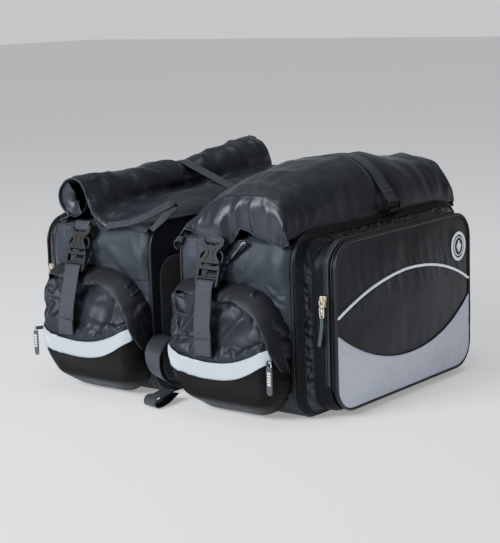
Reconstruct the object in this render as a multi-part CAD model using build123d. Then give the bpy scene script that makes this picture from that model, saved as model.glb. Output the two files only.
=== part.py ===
from build123d import *
import math
import os

# A pair of roll-top motorcycle saddlebags joined by two yoke straps.
# X runs across the motorcycle, Y along it and Z up. The origin is on the floor,
# midway between the bags. Every bag piece is made for the right bag (+X) and is
# mirrored for the left one. All sizes are in millimetres.

# Driving dimensions
HALF_GAP = 27.0             # centre line to each bag's inner face
BODY_LENGTH = 424.0         # along Y, without the end pockets
BODY_HEIGHT = 262.0         # floor to the top seam
BODY_CORNER_R = 42.0
BODY_INNER_X = 31.0
BODY_OUTER_X = 227.0
WALL = 3.0
RIM_X = 10.0                # width of the top seam beside the mouth
RIM_Y = 26.0
PAD_X = (HALF_GAP, BODY_INNER_X)
PIPING = 3.5

POCKET_X = (BODY_OUTER_X, 247.0, 268.0, 277.0)   # gusset, side band and panel
GUSSET_HALF = 190.0
BAND_HALF = 182.0
PANEL_HALF = 178.0
POCKET_LOW = 12.0
POCKET_TOP = 248.0
POCKET_CORNER_R = 38.0
PANEL_WALL = 3.0

END_POCKET_DEPTH = 48.0
END_POCKET_X = (29.0, 229.0)
END_POCKET_Z = (3.0, 208.0)
END_POCKET_CORNER_R = 50.0
END_POCKET_WALL = 2.5
END_POCKET_PLAN_R = 28.0

WEBBING = 30.0
WEBBING_T = 1.6
BUCKLE_W = 40.0
BUCKLE_TILT = 20.0          # degrees the hanging buckle leans away from the end wall
BUCKLE_TOP_Z = 250.0
BUCKLE_STAND_OFF = 14.0
STRAP_X = {"right": 107.0, "left": 150.0}
TOP_STRAP_Y = 32.0

YOKE_Y = 90.0
YOKE_WIDTH = 50.0
YOKE_T = 3.0
YOKE_TOP_Z = 250.0
YOKE_REACH = 28.0

END_Y = -BODY_LENGTH / 2    # front end wall
CLEAR = 0.2


def box_between(low, high):
    """Box between two opposite corners."""
    size = [b - a for a, b in zip(low, high)]
    middle = [(a + b) / 2 for a, b in zip(low, high)]
    return Pos(*middle) * Box(*size)


def rounded(half_width, low, high, radius):
    """Upright rounded rectangle, centred across, from low to high."""
    return Pos(0, (low + high) / 2) * RectangleRounded(2 * half_width, high - low, radius)


def along_x(sketch, x_low, x_high):
    """Extrude a sketch drawn in Y and Z from x_low to x_high."""
    return extrude(Plane.YZ.offset(x_low) * sketch, x_high - x_low)


def along_y(sketch, y_low, y_high):
    """Extrude a sketch drawn in X and Z from y_high down to y_low."""
    return extrude(Plane.XZ.offset(-y_high) * sketch, y_high - y_low)


def ribbon(points, thickness):
    """Closed outline of a strip of even thickness along a few points."""
    half = thickness / 2
    sides = ([], [])
    for i, (x, y) in enumerate(points):
        before = points[max(i - 1, 0)]
        after = points[min(i + 1, len(points) - 1)]
        bearings = []
        for start, end in ((before, (x, y)), ((x, y), after)):
            if start != end:
                bearings.append(math.atan2(end[1] - start[1], end[0] - start[0]))
        middle = sum(bearings) / len(bearings)
        reach = half / math.cos(middle - bearings[0])
        sides[0].append((x - reach * math.sin(middle), y + reach * math.cos(middle)))
        sides[1].append((x + reach * math.sin(middle), y - reach * math.cos(middle)))
    return make_face(Polyline(*sides[0], *reversed(sides[1]), close=True))


def both_ends(solid):
    """The piece at the front end and its mirror image at the rear end."""
    return [solid, mirror(solid, about=Plane.XZ)]


# Main body

def body_outline(grow):
    return rounded(BODY_LENGTH / 2 + grow, -grow, BODY_HEIGHT + grow, BODY_CORNER_R + grow)


def body_shell():
    outer = along_x(body_outline(0), BODY_INNER_X, BODY_OUTER_X)
    inner = along_x(body_outline(-WALL), BODY_INNER_X + WALL, BODY_OUTER_X - WALL)
    mouth = box_between(
        (BODY_INNER_X + RIM_X, END_Y + RIM_Y, BODY_HEIGHT / 2),
        (BODY_OUTER_X - RIM_X, -END_Y - RIM_Y, BODY_HEIGHT + 10),
    )
    return outer - inner - mouth


def base_board():
    inset = 14.0
    return box_between(
        (BODY_INNER_X + inset, END_Y + BODY_CORNER_R, WALL),
        (BODY_OUTER_X - inset, -END_Y - BODY_CORNER_R, WALL + 2.5),
    )


def back_pad():
    return along_x(rounded(195, 15, 208, 30), *PAD_X)


def edge_ring(x_low, x_high):
    """Piping just inside the outline of one face of the body."""
    return along_x(body_outline(-1) - body_outline(-1 - PIPING), x_low, x_high)


def body_piping():
    return [
        edge_ring(BODY_INNER_X - PIPING, BODY_INNER_X),
        edge_ring(BODY_OUTER_X, BODY_OUTER_X + PIPING),
    ]


# Roll top: a soft collar rolled down over the mouth and draped over both end walls

MOUND = {
    "right": [(31.5, 240), (33, 286), (55, 320), (95, 343), (150, 348), (200, 325), (224, 290), (226.5, 240)],
    "left": [(31.5, 240), (40, 280), (88, 312), (138, 335), (178, 345), (208, 332), (223, 300), (226.5, 240)],
}
ROLL_PROFILE = [
    (-217, 228), (-217, 286), (-207, 308), (-120, 336), (0, 348),
    (60, 348), (150, 343), (203, 330), (217, 296), (217, 228),
]
ROLL_WALL = 4.0


def mound_outline(side, grow):
    outline = make_face(Polyline(*MOUND[side], close=True))
    if grow:
        outline = offset(outline, amount=grow, kind=Kind.INTERSECTION)
    return outline


def mound_form(side, grow):
    across = along_y(mound_outline(side, grow), END_Y - 20, -END_Y + 20)
    lengthways = make_face(Polyline(*ROLL_PROFILE, close=True))
    if grow:
        lengthways = offset(lengthways, amount=grow, kind=Kind.INTERSECTION)
    return across & along_x(lengthways, 0, BODY_OUTER_X + 20)


def roll_top(side):
    body = along_x(body_outline(CLEAR), 0, BODY_OUTER_X + 20)
    inner = mound_form(side, -ROLL_WALL)
    below = box_between(
        (BODY_INNER_X + RIM_X, END_Y + RIM_Y, BODY_HEIGHT - 10),
        (BODY_OUTER_X - RIM_X, -END_Y - RIM_Y, BODY_HEIGHT + 12),
    )
    return mound_form(side, 0) - body - inner - below


def top_strap(side):
    """Strap over the roll, its ring's tab and the strap sewn along the front top seam."""
    loop = mound_outline(side, CLEAR + WEBBING_T) - mound_outline(side, CLEAR)
    over = along_y(loop, TOP_STRAP_Y - WEBBING / 2, TOP_STRAP_Y + WEBBING / 2)
    over = over & box_between((0, 0, 270), (300, 100, 400))
    tab = box_between(
        (BODY_OUTER_X + PIPING + 0.5, TOP_STRAP_Y - WEBBING / 2, 250),
        (BODY_OUTER_X + PIPING + 2.1, TOP_STRAP_Y + WEBBING / 2, 262),
    )
    seam = box_between(
        (BODY_INNER_X + 4, -219, 238),
        (STRAP_X[side] - BUCKLE_W / 2 - 4, -217.4, 260),
    )
    return [over, tab, seam]


def strap_ring():
    """Rectangular ring that the top strap is pulled through."""
    wire = 3.0
    height = 19.0
    width = WEBBING + 2 * wire + 2
    place = Pos(TOP_STRAP_Y, 272)
    outline = place * RectangleRounded(width, height, 3)
    hole = place * RectangleRounded(width - 2 * wire, height - 2 * wire, 1)
    return along_x(outline - hole, BODY_OUTER_X + 4, BODY_OUTER_X + 4 + wire)


# Outer pocket

def pocket_outline(half, grow):
    inset = PANEL_HALF - half
    low = POCKET_LOW + inset / 3 - grow
    return rounded(half + grow, low, POCKET_TOP + grow, POCKET_CORNER_R + grow)


def pocket_walls():
    """Gathered gusset against the body and the smooth side band in front of it."""
    rings = []
    for half, low, high in ((GUSSET_HALF, 0, 1), (BAND_HALF, 1, 2)):
        ring = pocket_outline(half, 0) - pocket_outline(half, -WALL)
        rings.append(along_x(ring, POCKET_X[low], POCKET_X[high]))
    return rings


ZIP_X = (257.0, 266.0)
ZIP_T = 1.5


def pocket_zip():
    """Zip tape round the top and both sides of the side band."""
    ring = pocket_outline(BAND_HALF, ZIP_T) - pocket_outline(BAND_HALF, 0)
    below = box_between((0, -300, -10), (400, 300, 44))
    return along_x(ring, *ZIP_X) - below


SLIDER_Z = (163.0, 178.0)
SLIDER_Y = -BAND_HALF - ZIP_T - CLEAR
SLIDER_T = 6.0


def zip_slider():
    """Slider with a waisted body and a bail for the pull."""
    middle_x = sum(ZIP_X) / 2
    low, high = SLIDER_Z
    outline = Polyline(
        (middle_x - 4.5, high), (middle_x + 4.5, high), (middle_x + 3, low + 5),
        (middle_x + 3.5, low), (middle_x - 3.5, low), (middle_x - 3, low + 5), close=True,
    )
    plate = along_y(make_face(outline), SLIDER_Y - 4, SLIDER_Y)
    bail = box_between((middle_x - 1.5, SLIDER_Y - SLIDER_T, 169), (middle_x + 1.5, SLIDER_Y - 4, 175))
    eye = Pos(middle_x, SLIDER_Y - 4.4, 172) * Rot(0, 90, 0) * Cylinder(1.3, 10)
    return plate + bail - eye


PULL_Y = SLIDER_Y - SLIDER_T - 1.4


def zip_pull():
    """Metal pull with a ribbon through its lower eye."""
    middle_x = sum(ZIP_X) / 2
    metal = Pos(middle_x, 157) * RectangleRounded(8, 34, 2.5)
    metal = metal - Pos(middle_x, 146) * RectangleRounded(5.4, 5, 1)
    ribbon_strip = Pos(middle_x, 124) * RectangleRounded(5, 32, 0.8)
    return [
        along_y(metal, PULL_Y - 0.9, PULL_Y + 0.9),
        along_y(ribbon_strip, PULL_Y - 0.7, PULL_Y + 0.7),
    ]


def pocket_panel():
    """Dished front panel that folds down from its lower edge."""
    outer = along_x(pocket_outline(PANEL_HALF, 0), POCKET_X[2] + 0.5, POCKET_X[3])
    inner = along_x(pocket_outline(PANEL_HALF, -PANEL_WALL), POCKET_X[2], POCKET_X[3] - PANEL_WALL)
    return outer - inner


def panel_piping():
    ring = pocket_outline(PANEL_HALF, PIPING) - pocket_outline(PANEL_HALF, 0)
    return along_x(ring, POCKET_X[3] - PIPING, POCKET_X[3])


ARC_HALF = PANEL_HALF - 4
WHITE_ARC = (146.0, 190.0)      # height at the ends and at the middle
GREY_ARC = (121.0, 65.0)


def below_arc(ends, middle):
    """Region of the panel under an arc."""
    arc = ThreePointArc((-ARC_HALF, ends), (0, middle), (ARC_HALF, ends))
    base = Polyline((ARC_HALF, ends), (ARC_HALF, -50), (-ARC_HALF, -50), (-ARC_HALF, ends))
    return make_face([arc, base])


def white_piping():
    width = 4.0
    band = below_arc(*WHITE_ARC) - Pos(0, -width) * below_arc(*WHITE_ARC)
    band = band & pocket_outline(PANEL_HALF, -4)
    return along_x(band, POCKET_X[3], POCKET_X[3] + 2) & box_between((0, -300, 100), (400, 300, 300))


def grey_insert():
    region = below_arc(*GREY_ARC) & pocket_outline(PANEL_HALF, -1)
    return along_x(region, POCKET_X[3], POCKET_X[3] + 1.2)


def badge():
    """Plain ring with a small diamond at its centre."""
    ring = Circle(22) - Circle(18.5)
    diamond = Rot(0, 0, 45) * Rectangle(13, 13)
    place = Plane.YZ.offset(POCKET_X[3]) * Pos(143, 200)
    return [extrude(place * ring, 1.8), extrude(place * diamond, 1.8)]


# End pockets

END_PROFILE = [(-20, 3), (16, 3), (34, 26), (48, 66), (48, 118), (40, 150), (27, 181), (7, 204), (-20, 204)]


def end_outline(grow):
    x_low, x_high = END_POCKET_X
    z_low, z_high = END_POCKET_Z
    return Pos((x_low + x_high) / 2, (z_low + z_high) / 2) * RectangleRounded(
        x_high - x_low + 2 * grow, z_high - z_low + 2 * grow, END_POCKET_CORNER_R + grow)


def end_form(grow):
    """Swollen pocket on the front end wall, grown or shrunk evenly."""
    front = along_y(end_outline(grow), END_Y - 80, END_Y + (1 if grow < 0 else 0))
    profile = make_face(Polyline(*[(END_Y - d, z) for d, z in END_PROFILE], close=True))
    if grow:
        profile = offset(profile, amount=grow, kind=Kind.INTERSECTION)
    x_low, x_high = END_POCKET_X
    deep = 100.0
    plan = Pos((x_low + x_high) / 2, END_Y - END_POCKET_DEPTH + deep / 2) * RectangleRounded(
        x_high - x_low + 2 * grow, deep + 2 * grow, END_POCKET_PLAN_R + grow)
    return front & along_x(profile, 0, 300) & extrude(Pos(0, 0, -10) * plan, 250)


def end_pockets():
    return both_ends(end_form(0) - end_form(-END_POCKET_WALL))


def end_flaps():
    """Rain flap over each end pocket's arched zip."""
    skin = end_form(2.4) - end_form(CLEAR)
    region = along_y(end_outline(6) - end_outline(-30), END_Y - 80, END_Y)
    upper = box_between((0, -400, 124), (400, 0, 300))
    return both_ends(skin & region & upper)


STRIP_ARC = (96.0, 73.0)
STRIP_HEIGHT = 24.0


def reflective_strips():
    """Curved strip across the front of each end pocket."""
    skin = end_form(0.9) - end_form(CLEAR / 2)
    x_low, x_high = END_POCKET_X
    ends, middle = STRIP_ARC
    centre = (x_low + x_high) / 2
    lower = ThreePointArc((x_low + 6, ends), (centre, middle), (x_high - 6, ends))
    upper = Pos(0, STRIP_HEIGHT) * lower
    sides = [Line(lower @ 0, upper @ 0), Line(lower @ 1, upper @ 1)]
    band = make_face([lower, upper] + sides)
    return both_ends(skin & along_y(band, END_Y - 80, END_Y))


TAG_X = 220.0


def end_tag():
    """Slider and printed pull at the outer lower end of an end pocket's zip."""
    hook = Pos(TAG_X, 92) * RectangleRounded(7, 8, 1.5)
    strip = Pos(TAG_X, 70) * RectangleRounded(9, 40, 2)
    face = END_Y - END_POCKET_DEPTH - 1.6
    return along_y(hook + strip, face - 1.6, face)


# Buckles: the frame's x is across the strap, y runs up it and z faces outwards

def buckle_place(side):
    tilt = math.radians(BUCKLE_TILT)
    return Plane(
        origin=(STRAP_X[side], END_Y - BUCKLE_STAND_OFF, BUCKLE_TOP_Z),
        x_dir=(1, 0, 0),
        z_dir=(0, -math.cos(tilt), math.sin(tilt)),
    ).location


SOCKET_LENGTH = 34.0
BUCKLE_T = 11.0


def buckle_female(side):
    half = BUCKLE_W / 2
    body = Pos(0, -SOCKET_LENGTH / 2) * Box(BUCKLE_W, SOCKET_LENGTH, BUCKLE_T)
    body = fillet(body.edges().filter_by(Axis.Z), 4)
    socket = box_between((-half + 4, -SOCKET_LENGTH - 1, -3.6), (half - 4, -11, 3.6))
    web_slot = box_between((-half + 4, -7.5, -10), (half - 4, 4, 10))
    bar = Pos(0, -3.2) * Rot(0, 90, 0) * Cylinder(1.6, BUCKLE_W - 4)
    body = body - socket - web_slot + bar
    for sign in (-1, 1):
        window = box_between((-5, -25, -3.2), (5, -14, 3.2))
        body = body - Pos(sign * half, 0) * window
    return buckle_place(side) * body


def buckle_male(side):
    half = BUCKLE_W / 2
    base = box_between((-half, -43, -4.8), (half, -SOCKET_LENGTH - 0.6, 4.8))
    guide = box_between((-3.5, -35, -2.2), (3.5, -15, 2.2))
    male = base + guide
    for sign in (-1, 1):
        prong = Polyline((10, -35), (13, -35), (15.2, -24), (14.6, -15), (12, -13), (10.4, -16), close=True)
        arm = extrude(make_face(prong), 2.6, both=True)
        male = male + (arm if sign > 0 else mirror(arm, about=Plane.YZ))
    ladder = Pos(0, -55) * Box(BUCKLE_W, 25, 6)
    for low in (-64.0, -54.0):
        ladder = ladder - box_between((-half + 4, low, -10), (half - 4, low + 7, 10))
    return buckle_place(side) * (male + ladder)


def buckle_webbing(side):
    """Looped tab on each female buckle and the fixed strap behind each male one."""
    tab = box_between((-WEBBING / 2, -6.6, -3.6), (WEBBING / 2, 11, 3.6))
    tab = tab - box_between((-WEBBING, -5.2, -2.2), (WEBBING, 20, 2.2))
    tab = tab + box_between((-WEBBING / 2, 9.4, -3.6), (WEBBING / 2, 11, 3.6))
    tab = buckle_place(side) * tab
    centre = STRAP_X[side]
    anchor = ribbon([(END_Y - 1.4, 214.0), (END_Y - 29.6, 187.6)], WEBBING_T)
    anchor = along_x(anchor, centre - WEBBING / 2, centre + WEBBING / 2)
    return both_ends(tab) + both_ends(anchor)


def strap_tail(side):
    """Free end of the buckle strap, from the ladder down over the end pocket."""
    tilt = math.radians(BUCKLE_TILT)
    points = []
    for along, out in ((46.0, 4.5), (70.0, 4.5)):
        drop = BUCKLE_TOP_Z - along * math.cos(tilt) + out * math.sin(tilt)
        reach = BUCKLE_STAND_OFF + along * math.sin(tilt) + out * math.cos(tilt)
        points.append((END_Y - reach, drop))
    face = END_Y - END_POCKET_DEPTH - 4.5
    points += [(face, 150.0), (face, 92.0)]
    centre = STRAP_X[side]
    return along_x(ribbon(points, WEBBING_T), centre - WEBBING / 2, centre + WEBBING / 2)


# Straps between the bags

def yoke_straps(x_low, x_high, top):
    straps = []
    for y in (-YOKE_Y, YOKE_Y):
        straps.append(box_between(
            (x_low, y - YOKE_WIDTH / 2, top - YOKE_T), (x_high, y + YOKE_WIDTH / 2, top)))
    return straps


def lower_strap():
    """Stabiliser strap that bulges from the gap and its folded loop on the floor."""
    run = ribbon([(-206, 88), (-236, 82), (-241, 62), (-233, 38), (-200, 24)], WEBBING_T)
    loop = ribbon([(-214, 4), (-252, 1.0), (-264, 8), (-254, 15), (-218, 8)], WEBBING_T)
    return [along_x(run, -14, 11), along_x(loop, -12, 14)]


# Assembly

def bag_nodes(side):
    males = both_ends(buckle_male(side))
    tails = both_ends(strap_tail(side))
    tags = both_ends(end_tag())
    return {
        "body_shell": body_shell(),
        "base_board": base_board(),
        "back_pad": back_pad(),
        "body_piping": body_piping(),
        "roll_top": roll_top(side),
        "top_strap": top_strap(side),
        "strap_ring": strap_ring(),
        "pocket_walls": pocket_walls(),
        "pocket_zip": pocket_zip(),
        "zip_slider": zip_slider(),
        "zip_pull": zip_pull(),
        "pocket_panel": pocket_panel(),
        "panel_piping": panel_piping(),
        "white_piping": white_piping(),
        "grey_insert": grey_insert(),
        "badge": badge(),
        "end_pockets": end_pockets(),
        "end_flaps": end_flaps(),
        "reflective_strips": reflective_strips(),
        "front_tag": tags[0],
        "rear_tag": tags[1],
        "buckle_females": both_ends(buckle_female(side)),
        "buckle_webbing": buckle_webbing(side),
        "front_buckle_male": males[0],
        "rear_buckle_male": males[1],
        "front_strap_tail": tails[0],
        "rear_strap_tail": tails[1],
    }


def as_shape(piece):
    """One shape to export from a solid or a list of solids."""
    return Compound(children=piece) if isinstance(piece, list) else piece


def main():
    os.makedirs("parts", exist_ok=True)
    nodes = {}
    for side in ("right", "left"):
        for name, piece in bag_nodes(side).items():
            shape = as_shape(piece)
            if side == "left":
                shape = mirror(shape, about=Plane.YZ)
            nodes[f"{side}_{name}"] = shape
    nodes["yoke_right_straps"] = as_shape(yoke_straps(-24, YOKE_REACH, YOKE_TOP_Z))
    nodes["yoke_left_straps"] = as_shape(yoke_straps(-YOKE_REACH, 24, YOKE_TOP_Z - YOKE_T - 0.5))
    nodes["left_lower_strap"] = as_shape(lower_strap())
    for name, shape in nodes.items():
        export_step(shape, f"parts/{name}.step")


main()
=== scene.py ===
import math

import bpy
from mathutils import Matrix, Vector, noise


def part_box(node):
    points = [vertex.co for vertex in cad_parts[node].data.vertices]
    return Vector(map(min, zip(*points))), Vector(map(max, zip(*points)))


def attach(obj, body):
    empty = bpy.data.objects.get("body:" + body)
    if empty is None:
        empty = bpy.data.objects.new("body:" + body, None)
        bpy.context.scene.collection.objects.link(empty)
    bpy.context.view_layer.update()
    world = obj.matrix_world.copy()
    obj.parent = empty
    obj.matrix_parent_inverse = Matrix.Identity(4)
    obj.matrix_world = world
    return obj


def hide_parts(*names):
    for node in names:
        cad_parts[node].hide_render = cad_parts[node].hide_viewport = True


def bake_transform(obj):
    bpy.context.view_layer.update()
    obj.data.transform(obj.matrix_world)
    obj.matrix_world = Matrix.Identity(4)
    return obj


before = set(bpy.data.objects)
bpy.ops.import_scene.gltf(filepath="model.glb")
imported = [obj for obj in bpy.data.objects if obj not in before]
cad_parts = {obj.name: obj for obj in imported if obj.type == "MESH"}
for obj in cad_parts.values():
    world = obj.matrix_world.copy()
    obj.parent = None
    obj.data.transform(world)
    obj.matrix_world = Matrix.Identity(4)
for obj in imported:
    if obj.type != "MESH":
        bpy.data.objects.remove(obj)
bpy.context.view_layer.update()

# Pieces are described for the right-hand bag in millimetres and mirrored for the left one.
MM = 0.001
SIDES = {"right": 1.0, "left": -1.0}
ENDS = {"front": -1.0, "rear": 1.0}
SEED = {"right": 3.0, "left": 41.0}


def box_mm(node):
    """Lowest and highest corners of a CAD node, in millimetres."""
    low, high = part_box(node)
    return [v / MM for v in low], [v / MM for v in high]


BODY_LOW, BODY_HIGH = box_mm("right_body_shell")
PANEL_LOW, PANEL_HIGH = box_mm("right_pocket_panel")
END_LOW, END_HIGH = box_mm("right_end_pockets")
PAD_LOW, PAD_HIGH = box_mm("right_back_pad")
BODY_HALF = BODY_HIGH[1]
BODY_TOP = BODY_HIGH[2]
BODY_CORNER = 42.0
PANEL_HALF = PANEL_HIGH[1]
PANEL_CORNER = 38.0
PANEL_FACE = PANEL_HIGH[0]
GUSSET_X = BODY_HIGH[0] + 20
STRAP_X = {side: abs(sum(c[0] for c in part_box(f"{side}_front_strap_tail"))) / 2 / MM for side in SIDES}
TOP_STRAP_Y = sum(c[1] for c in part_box("right_strap_ring")) / 2 / MM
WEBBING = 30.0
TOP_WEBBING = 25
YOKE_WEBBING = 50
LOWER_WEBBING = 26


# Camera and light

LOOK_AT = (0, 0, 0.15)
CAMERA_AZIMUTH = 38.3
CAMERA_ELEVATION = 10.6
CAMERA_DISTANCE = 2.348
CAMERA_ROLL = -1.7
CAMERA_LENS = 99.4


def aim(obj, azimuth, elevation, distance, target, roll=0.0):
    """Place obj on a sphere round target and point its -Z axis at it."""
    a, e, r = (math.radians(v) for v in (azimuth, elevation, roll))
    back = Vector((math.sin(a) * math.cos(e), -math.cos(a) * math.cos(e), math.sin(e)))
    right = Vector((math.cos(a), math.sin(a), 0))
    up = back.cross(right)
    tilted_right = right * math.cos(r) + up * math.sin(r)
    tilted_up = up * math.cos(r) - right * math.sin(r)
    rotation = Matrix((tilted_right, tilted_up, back)).transposed()
    obj.matrix_world = Matrix.Translation(Vector(target) + back * distance) @ rotation.to_4x4()


def add_camera():
    data = bpy.data.cameras.new("camera")
    camera = bpy.data.objects.new("camera", data)
    bpy.context.scene.collection.objects.link(camera)
    data.lens = CAMERA_LENS
    data.shift_x = -0.0125
    data.shift_y = 0.010
    data.clip_end = 50
    aim(camera, CAMERA_AZIMUTH, CAMERA_ELEVATION, CAMERA_DISTANCE, LOOK_AT, roll=CAMERA_ROLL)
    bpy.context.scene.camera = camera


def add_light(name, size, power, azimuth, elevation, distance, colour):
    data = bpy.data.lights.new(name, "AREA")
    data.shape = "RECTANGLE"
    data.size, data.size_y = size
    data.energy = power
    data.color = colour
    light = bpy.data.objects.new(name, data)
    bpy.context.scene.collection.objects.link(light)
    aim(light, azimuth, elevation, distance, LOOK_AT)


def add_stage():
    """Pale floor, pale surroundings and two soft lights."""
    bpy.ops.mesh.primitive_plane_add(size=30)
    floor = bpy.context.object
    floor.name = "floor"
    floor.data.materials.append(MATERIALS["floor"])
    world = bpy.data.worlds.new("studio")
    bpy.context.scene.world = world
    world.use_nodes = True
    tree = world.node_tree
    background = tree.nodes["Background"]
    background.inputs["Color"].default_value = (0.93, 0.96, 1.0, 1)
    direction = tree.nodes.new("ShaderNodeTexCoord")
    height = tree.nodes.new("ShaderNodeSeparateXYZ")
    tree.links.new(direction.outputs["Generated"], height.inputs[0])
    fade = tree.nodes.new("ShaderNodeMapRange")
    fade.inputs["From Min"].default_value = 0.04
    fade.inputs["From Max"].default_value = 0.1
    fade.inputs["To Min"].default_value = 1.1
    fade.inputs["To Max"].default_value = 0.4
    tree.links.new(height.outputs["Z"], fade.inputs["Value"])
    tree.links.new(fade.outputs[0], background.inputs["Strength"])
    add_light("key", (1.1, 0.9), 160, -14, 28, 2.6, (0.84, 0.92, 1.0))
    add_light("top", (1.6, 1.2), 38, 60, 84, 2.4, (0.96, 0.97, 1.0))


# Materials

METRE_WAVE = 0.314159     # wave texture scale whose ribs repeat once a metre


class Shader:
    """Short way to write a node tree: node() adds one and returns its first output."""

    def __init__(self, name):
        self.material = bpy.data.materials.new(name)
        self.material.use_nodes = True
        self.tree = self.material.node_tree
        self.principled = self.tree.nodes["Principled BSDF"]
        self.place = self.tree.nodes.new("ShaderNodeTexCoord").outputs["Object"]

    def node(self, kind, inputs, output=0, **settings):
        node = self.tree.nodes.new(kind)
        for key, value in settings.items():
            setattr(node, key, value)
        for key, value in inputs.items():
            self.feed(node.inputs[key], value)
        return node.outputs[output]

    def feed(self, socket, value):
        if isinstance(value, bpy.types.NodeSocket):
            self.tree.links.new(value, socket)
        else:
            socket.default_value = value

    def finish(self, **values):
        for key, value in values.items():
            self.feed(self.principled.inputs[key.replace("_", " ")], value)
        return self.material

    def noise(self, scale, detail=3.0, rough=0.5, stretch=None):
        place = self.place
        if stretch:
            place = self.node("ShaderNodeMapping", {"Vector": place, "Scale": stretch})
        return self.node("ShaderNodeTexNoise", {
            "Vector": place, "Scale": scale, "Detail": detail, "Roughness": rough})

    def wave(self, axis, pitch):
        """Ribs across one axis, pitch metres apart."""
        return self.node("ShaderNodeTexWave", {
            "Vector": self.place, "Scale": METRE_WAVE / pitch,
        }, bands_direction=axis)

    def math(self, operation, a, b=0.0):
        return self.node("ShaderNodeMath", {0: a, 1: b}, operation=operation)

    def mix(self, factor, low, high):
        return self.node("ShaderNodeMix", {0: factor, 6: low, 7: high}, output=2, data_type="RGBA")

    def span(self, value, low, high):
        return self.node("ShaderNodeMapRange", {"Value": value, "To Min": low, "To Max": high})

    def weave(self, pitch):
        """Over and under threads, seen on a face square to any axis."""
        ribs = [self.wave(axis, pitch) for axis in "XYZ"]
        return self.math("MULTIPLY", self.math("ADD", self.math("ADD", *ribs[:2]), ribs[2]), 0.33)

    def bump(self, height, distance, strength=1.0, normal=None):
        inputs = {"Height": height, "Distance": distance, "Strength": strength}
        if normal is not None:
            inputs["Normal"] = normal
        return self.node("ShaderNodeBump", inputs)


def shade(colour, factor):
    return (colour[0] * factor, colour[1] * factor, colour[2] * factor, 1)


def fabric(name, colour, rough, shine=0.14, gloss=0.0, sheen=0.0, pitch=0.0007, crease=0.5):
    """Woven nylon: threads, faint creases, uneven tone and a thin coating."""
    s = Shader(name)
    blotch = s.noise(7, detail=5, rough=0.6)
    worn = s.noise(60, detail=3)
    tone = s.math("ADD", s.math("MULTIPLY", blotch, 0.6), s.math("MULTIPLY", worn, 0.4))
    creased = s.bump(s.noise(38, detail=6, rough=0.62), 0.0009, crease)
    woven = s.bump(s.weave(pitch), 0.00012, 0.55, creased)
    return s.finish(
        Base_Color=s.mix(tone, shade(colour, 0.62), shade(colour, 1.4)),
        Roughness=s.span(tone, rough - 0.09, rough + 0.1), Specular_IOR_Level=shine,
        Normal=woven, Coat_Weight=gloss, Coat_Roughness=0.28, Coat_IOR=1.3, Coat_Normal=creased,
        Sheen_Weight=sheen, Sheen_Roughness=0.5, Sheen_Tint=(0.75, 0.8, 0.9, 1),
    )


def webbing_material():
    s = Shader("webbing")
    rib = s.wave("Z", 0.0021)
    cross = s.math("MULTIPLY", s.wave("X", 0.0013), s.wave("Y", 0.0013))
    height = s.math("ADD", rib, s.math("MULTIPLY", cross, 0.6))
    fuzz = s.noise(700, detail=2)
    tone = s.math("MULTIPLY", s.math("ADD", fuzz, s.noise(24)), 0.5)
    return s.finish(
        Base_Color=s.mix(tone, (0.009, 0.0095, 0.011, 1), (0.024, 0.025, 0.029, 1)),
        Roughness=s.span(fuzz, 0.5, 0.72), Normal=s.bump(height, 0.0004, 0.7), Specular_IOR_Level=0.2,
        Sheen_Weight=0.03, Sheen_Roughness=0.45,
    )


def moulded(name, colour, rough, grain=0.25, metallic=0.0, scratch=0.0, shine=0.4):
    """Moulded plastic or plated metal with a fine grain and rubbed patches."""
    s = Shader(name)
    patch_tone = s.noise(55, detail=4, rough=0.65)
    fine = s.noise(1600, detail=2)
    height = s.math("ADD", fine, s.noise(260, detail=3))
    lines = s.noise(90, detail=4, stretch=(1, 1, 22)) if scratch else patch_tone
    return s.finish(
        Base_Color=s.mix(patch_tone, shade(colour, 0.75), shade(colour, 1.3)),
        Roughness=s.span(lines, rough - 0.1, rough + 0.14),
        Metallic=metallic, Normal=s.bump(height, 0.00008, grain), Specular_IOR_Level=shine,
    )


def reflective_material(name, colour):
    """Glass-bead tape: honeycomb print, a slight metallic silver, a faint painted glow in place of the beads'
    bounced light, and soft creases.
    """
    s = Shader(name)
    cells = s.node("ShaderNodeTexVoronoi", {"Vector": s.place, "Scale": 420.0},
                   feature="DISTANCE_TO_EDGE")
    grime = s.noise(30, detail=5, rough=0.6)
    creased = s.bump(s.noise(45, detail=4), 0.0008, 0.45)
    return s.finish(
        Base_Color=s.mix(grime, shade(colour, 0.84), shade(colour, 1.1)),
        Roughness=s.span(grime, 0.28, 0.45), Metallic=0.15,
        Normal=s.bump(cells, 0.00012, 0.35, creased), Coat_Weight=0.35, Coat_Roughness=0.2,
        # Painted glow: the tape gives off faint light of its own colour, standing in for light the beads send
        # back
        Emission_Color=shade(colour, 1.0), Emission_Strength=0.12,
    )


def pad_material():
    """Rubber-dotted non-slip cloth."""
    s = Shader("pad_fabric")
    dots = s.node("ShaderNodeTexVoronoi", {"Vector": s.place, "Scale": 330.0})
    raised = s.math("LESS_THAN", dots, 0.32)
    tone = s.noise(14, detail=4)
    return s.finish(
        Base_Color=s.mix(tone, (0.012, 0.012, 0.013, 1), (0.028, 0.028, 0.031, 1)),
        Roughness=s.span(raised, 0.86, 0.55), Normal=s.bump(raised, 0.0004, 0.6),
    )


def floor_material():
    s = Shader("floor")
    tone = s.noise(3, detail=4)
    return s.finish(
        Base_Color=s.mix(tone, (0.86, 0.87, 0.88, 1), (0.9, 0.9, 0.91, 1)), Roughness=0.85,
        Emission_Color=(1, 1, 1, 1), Emission_Strength=0.3,
    )


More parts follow.
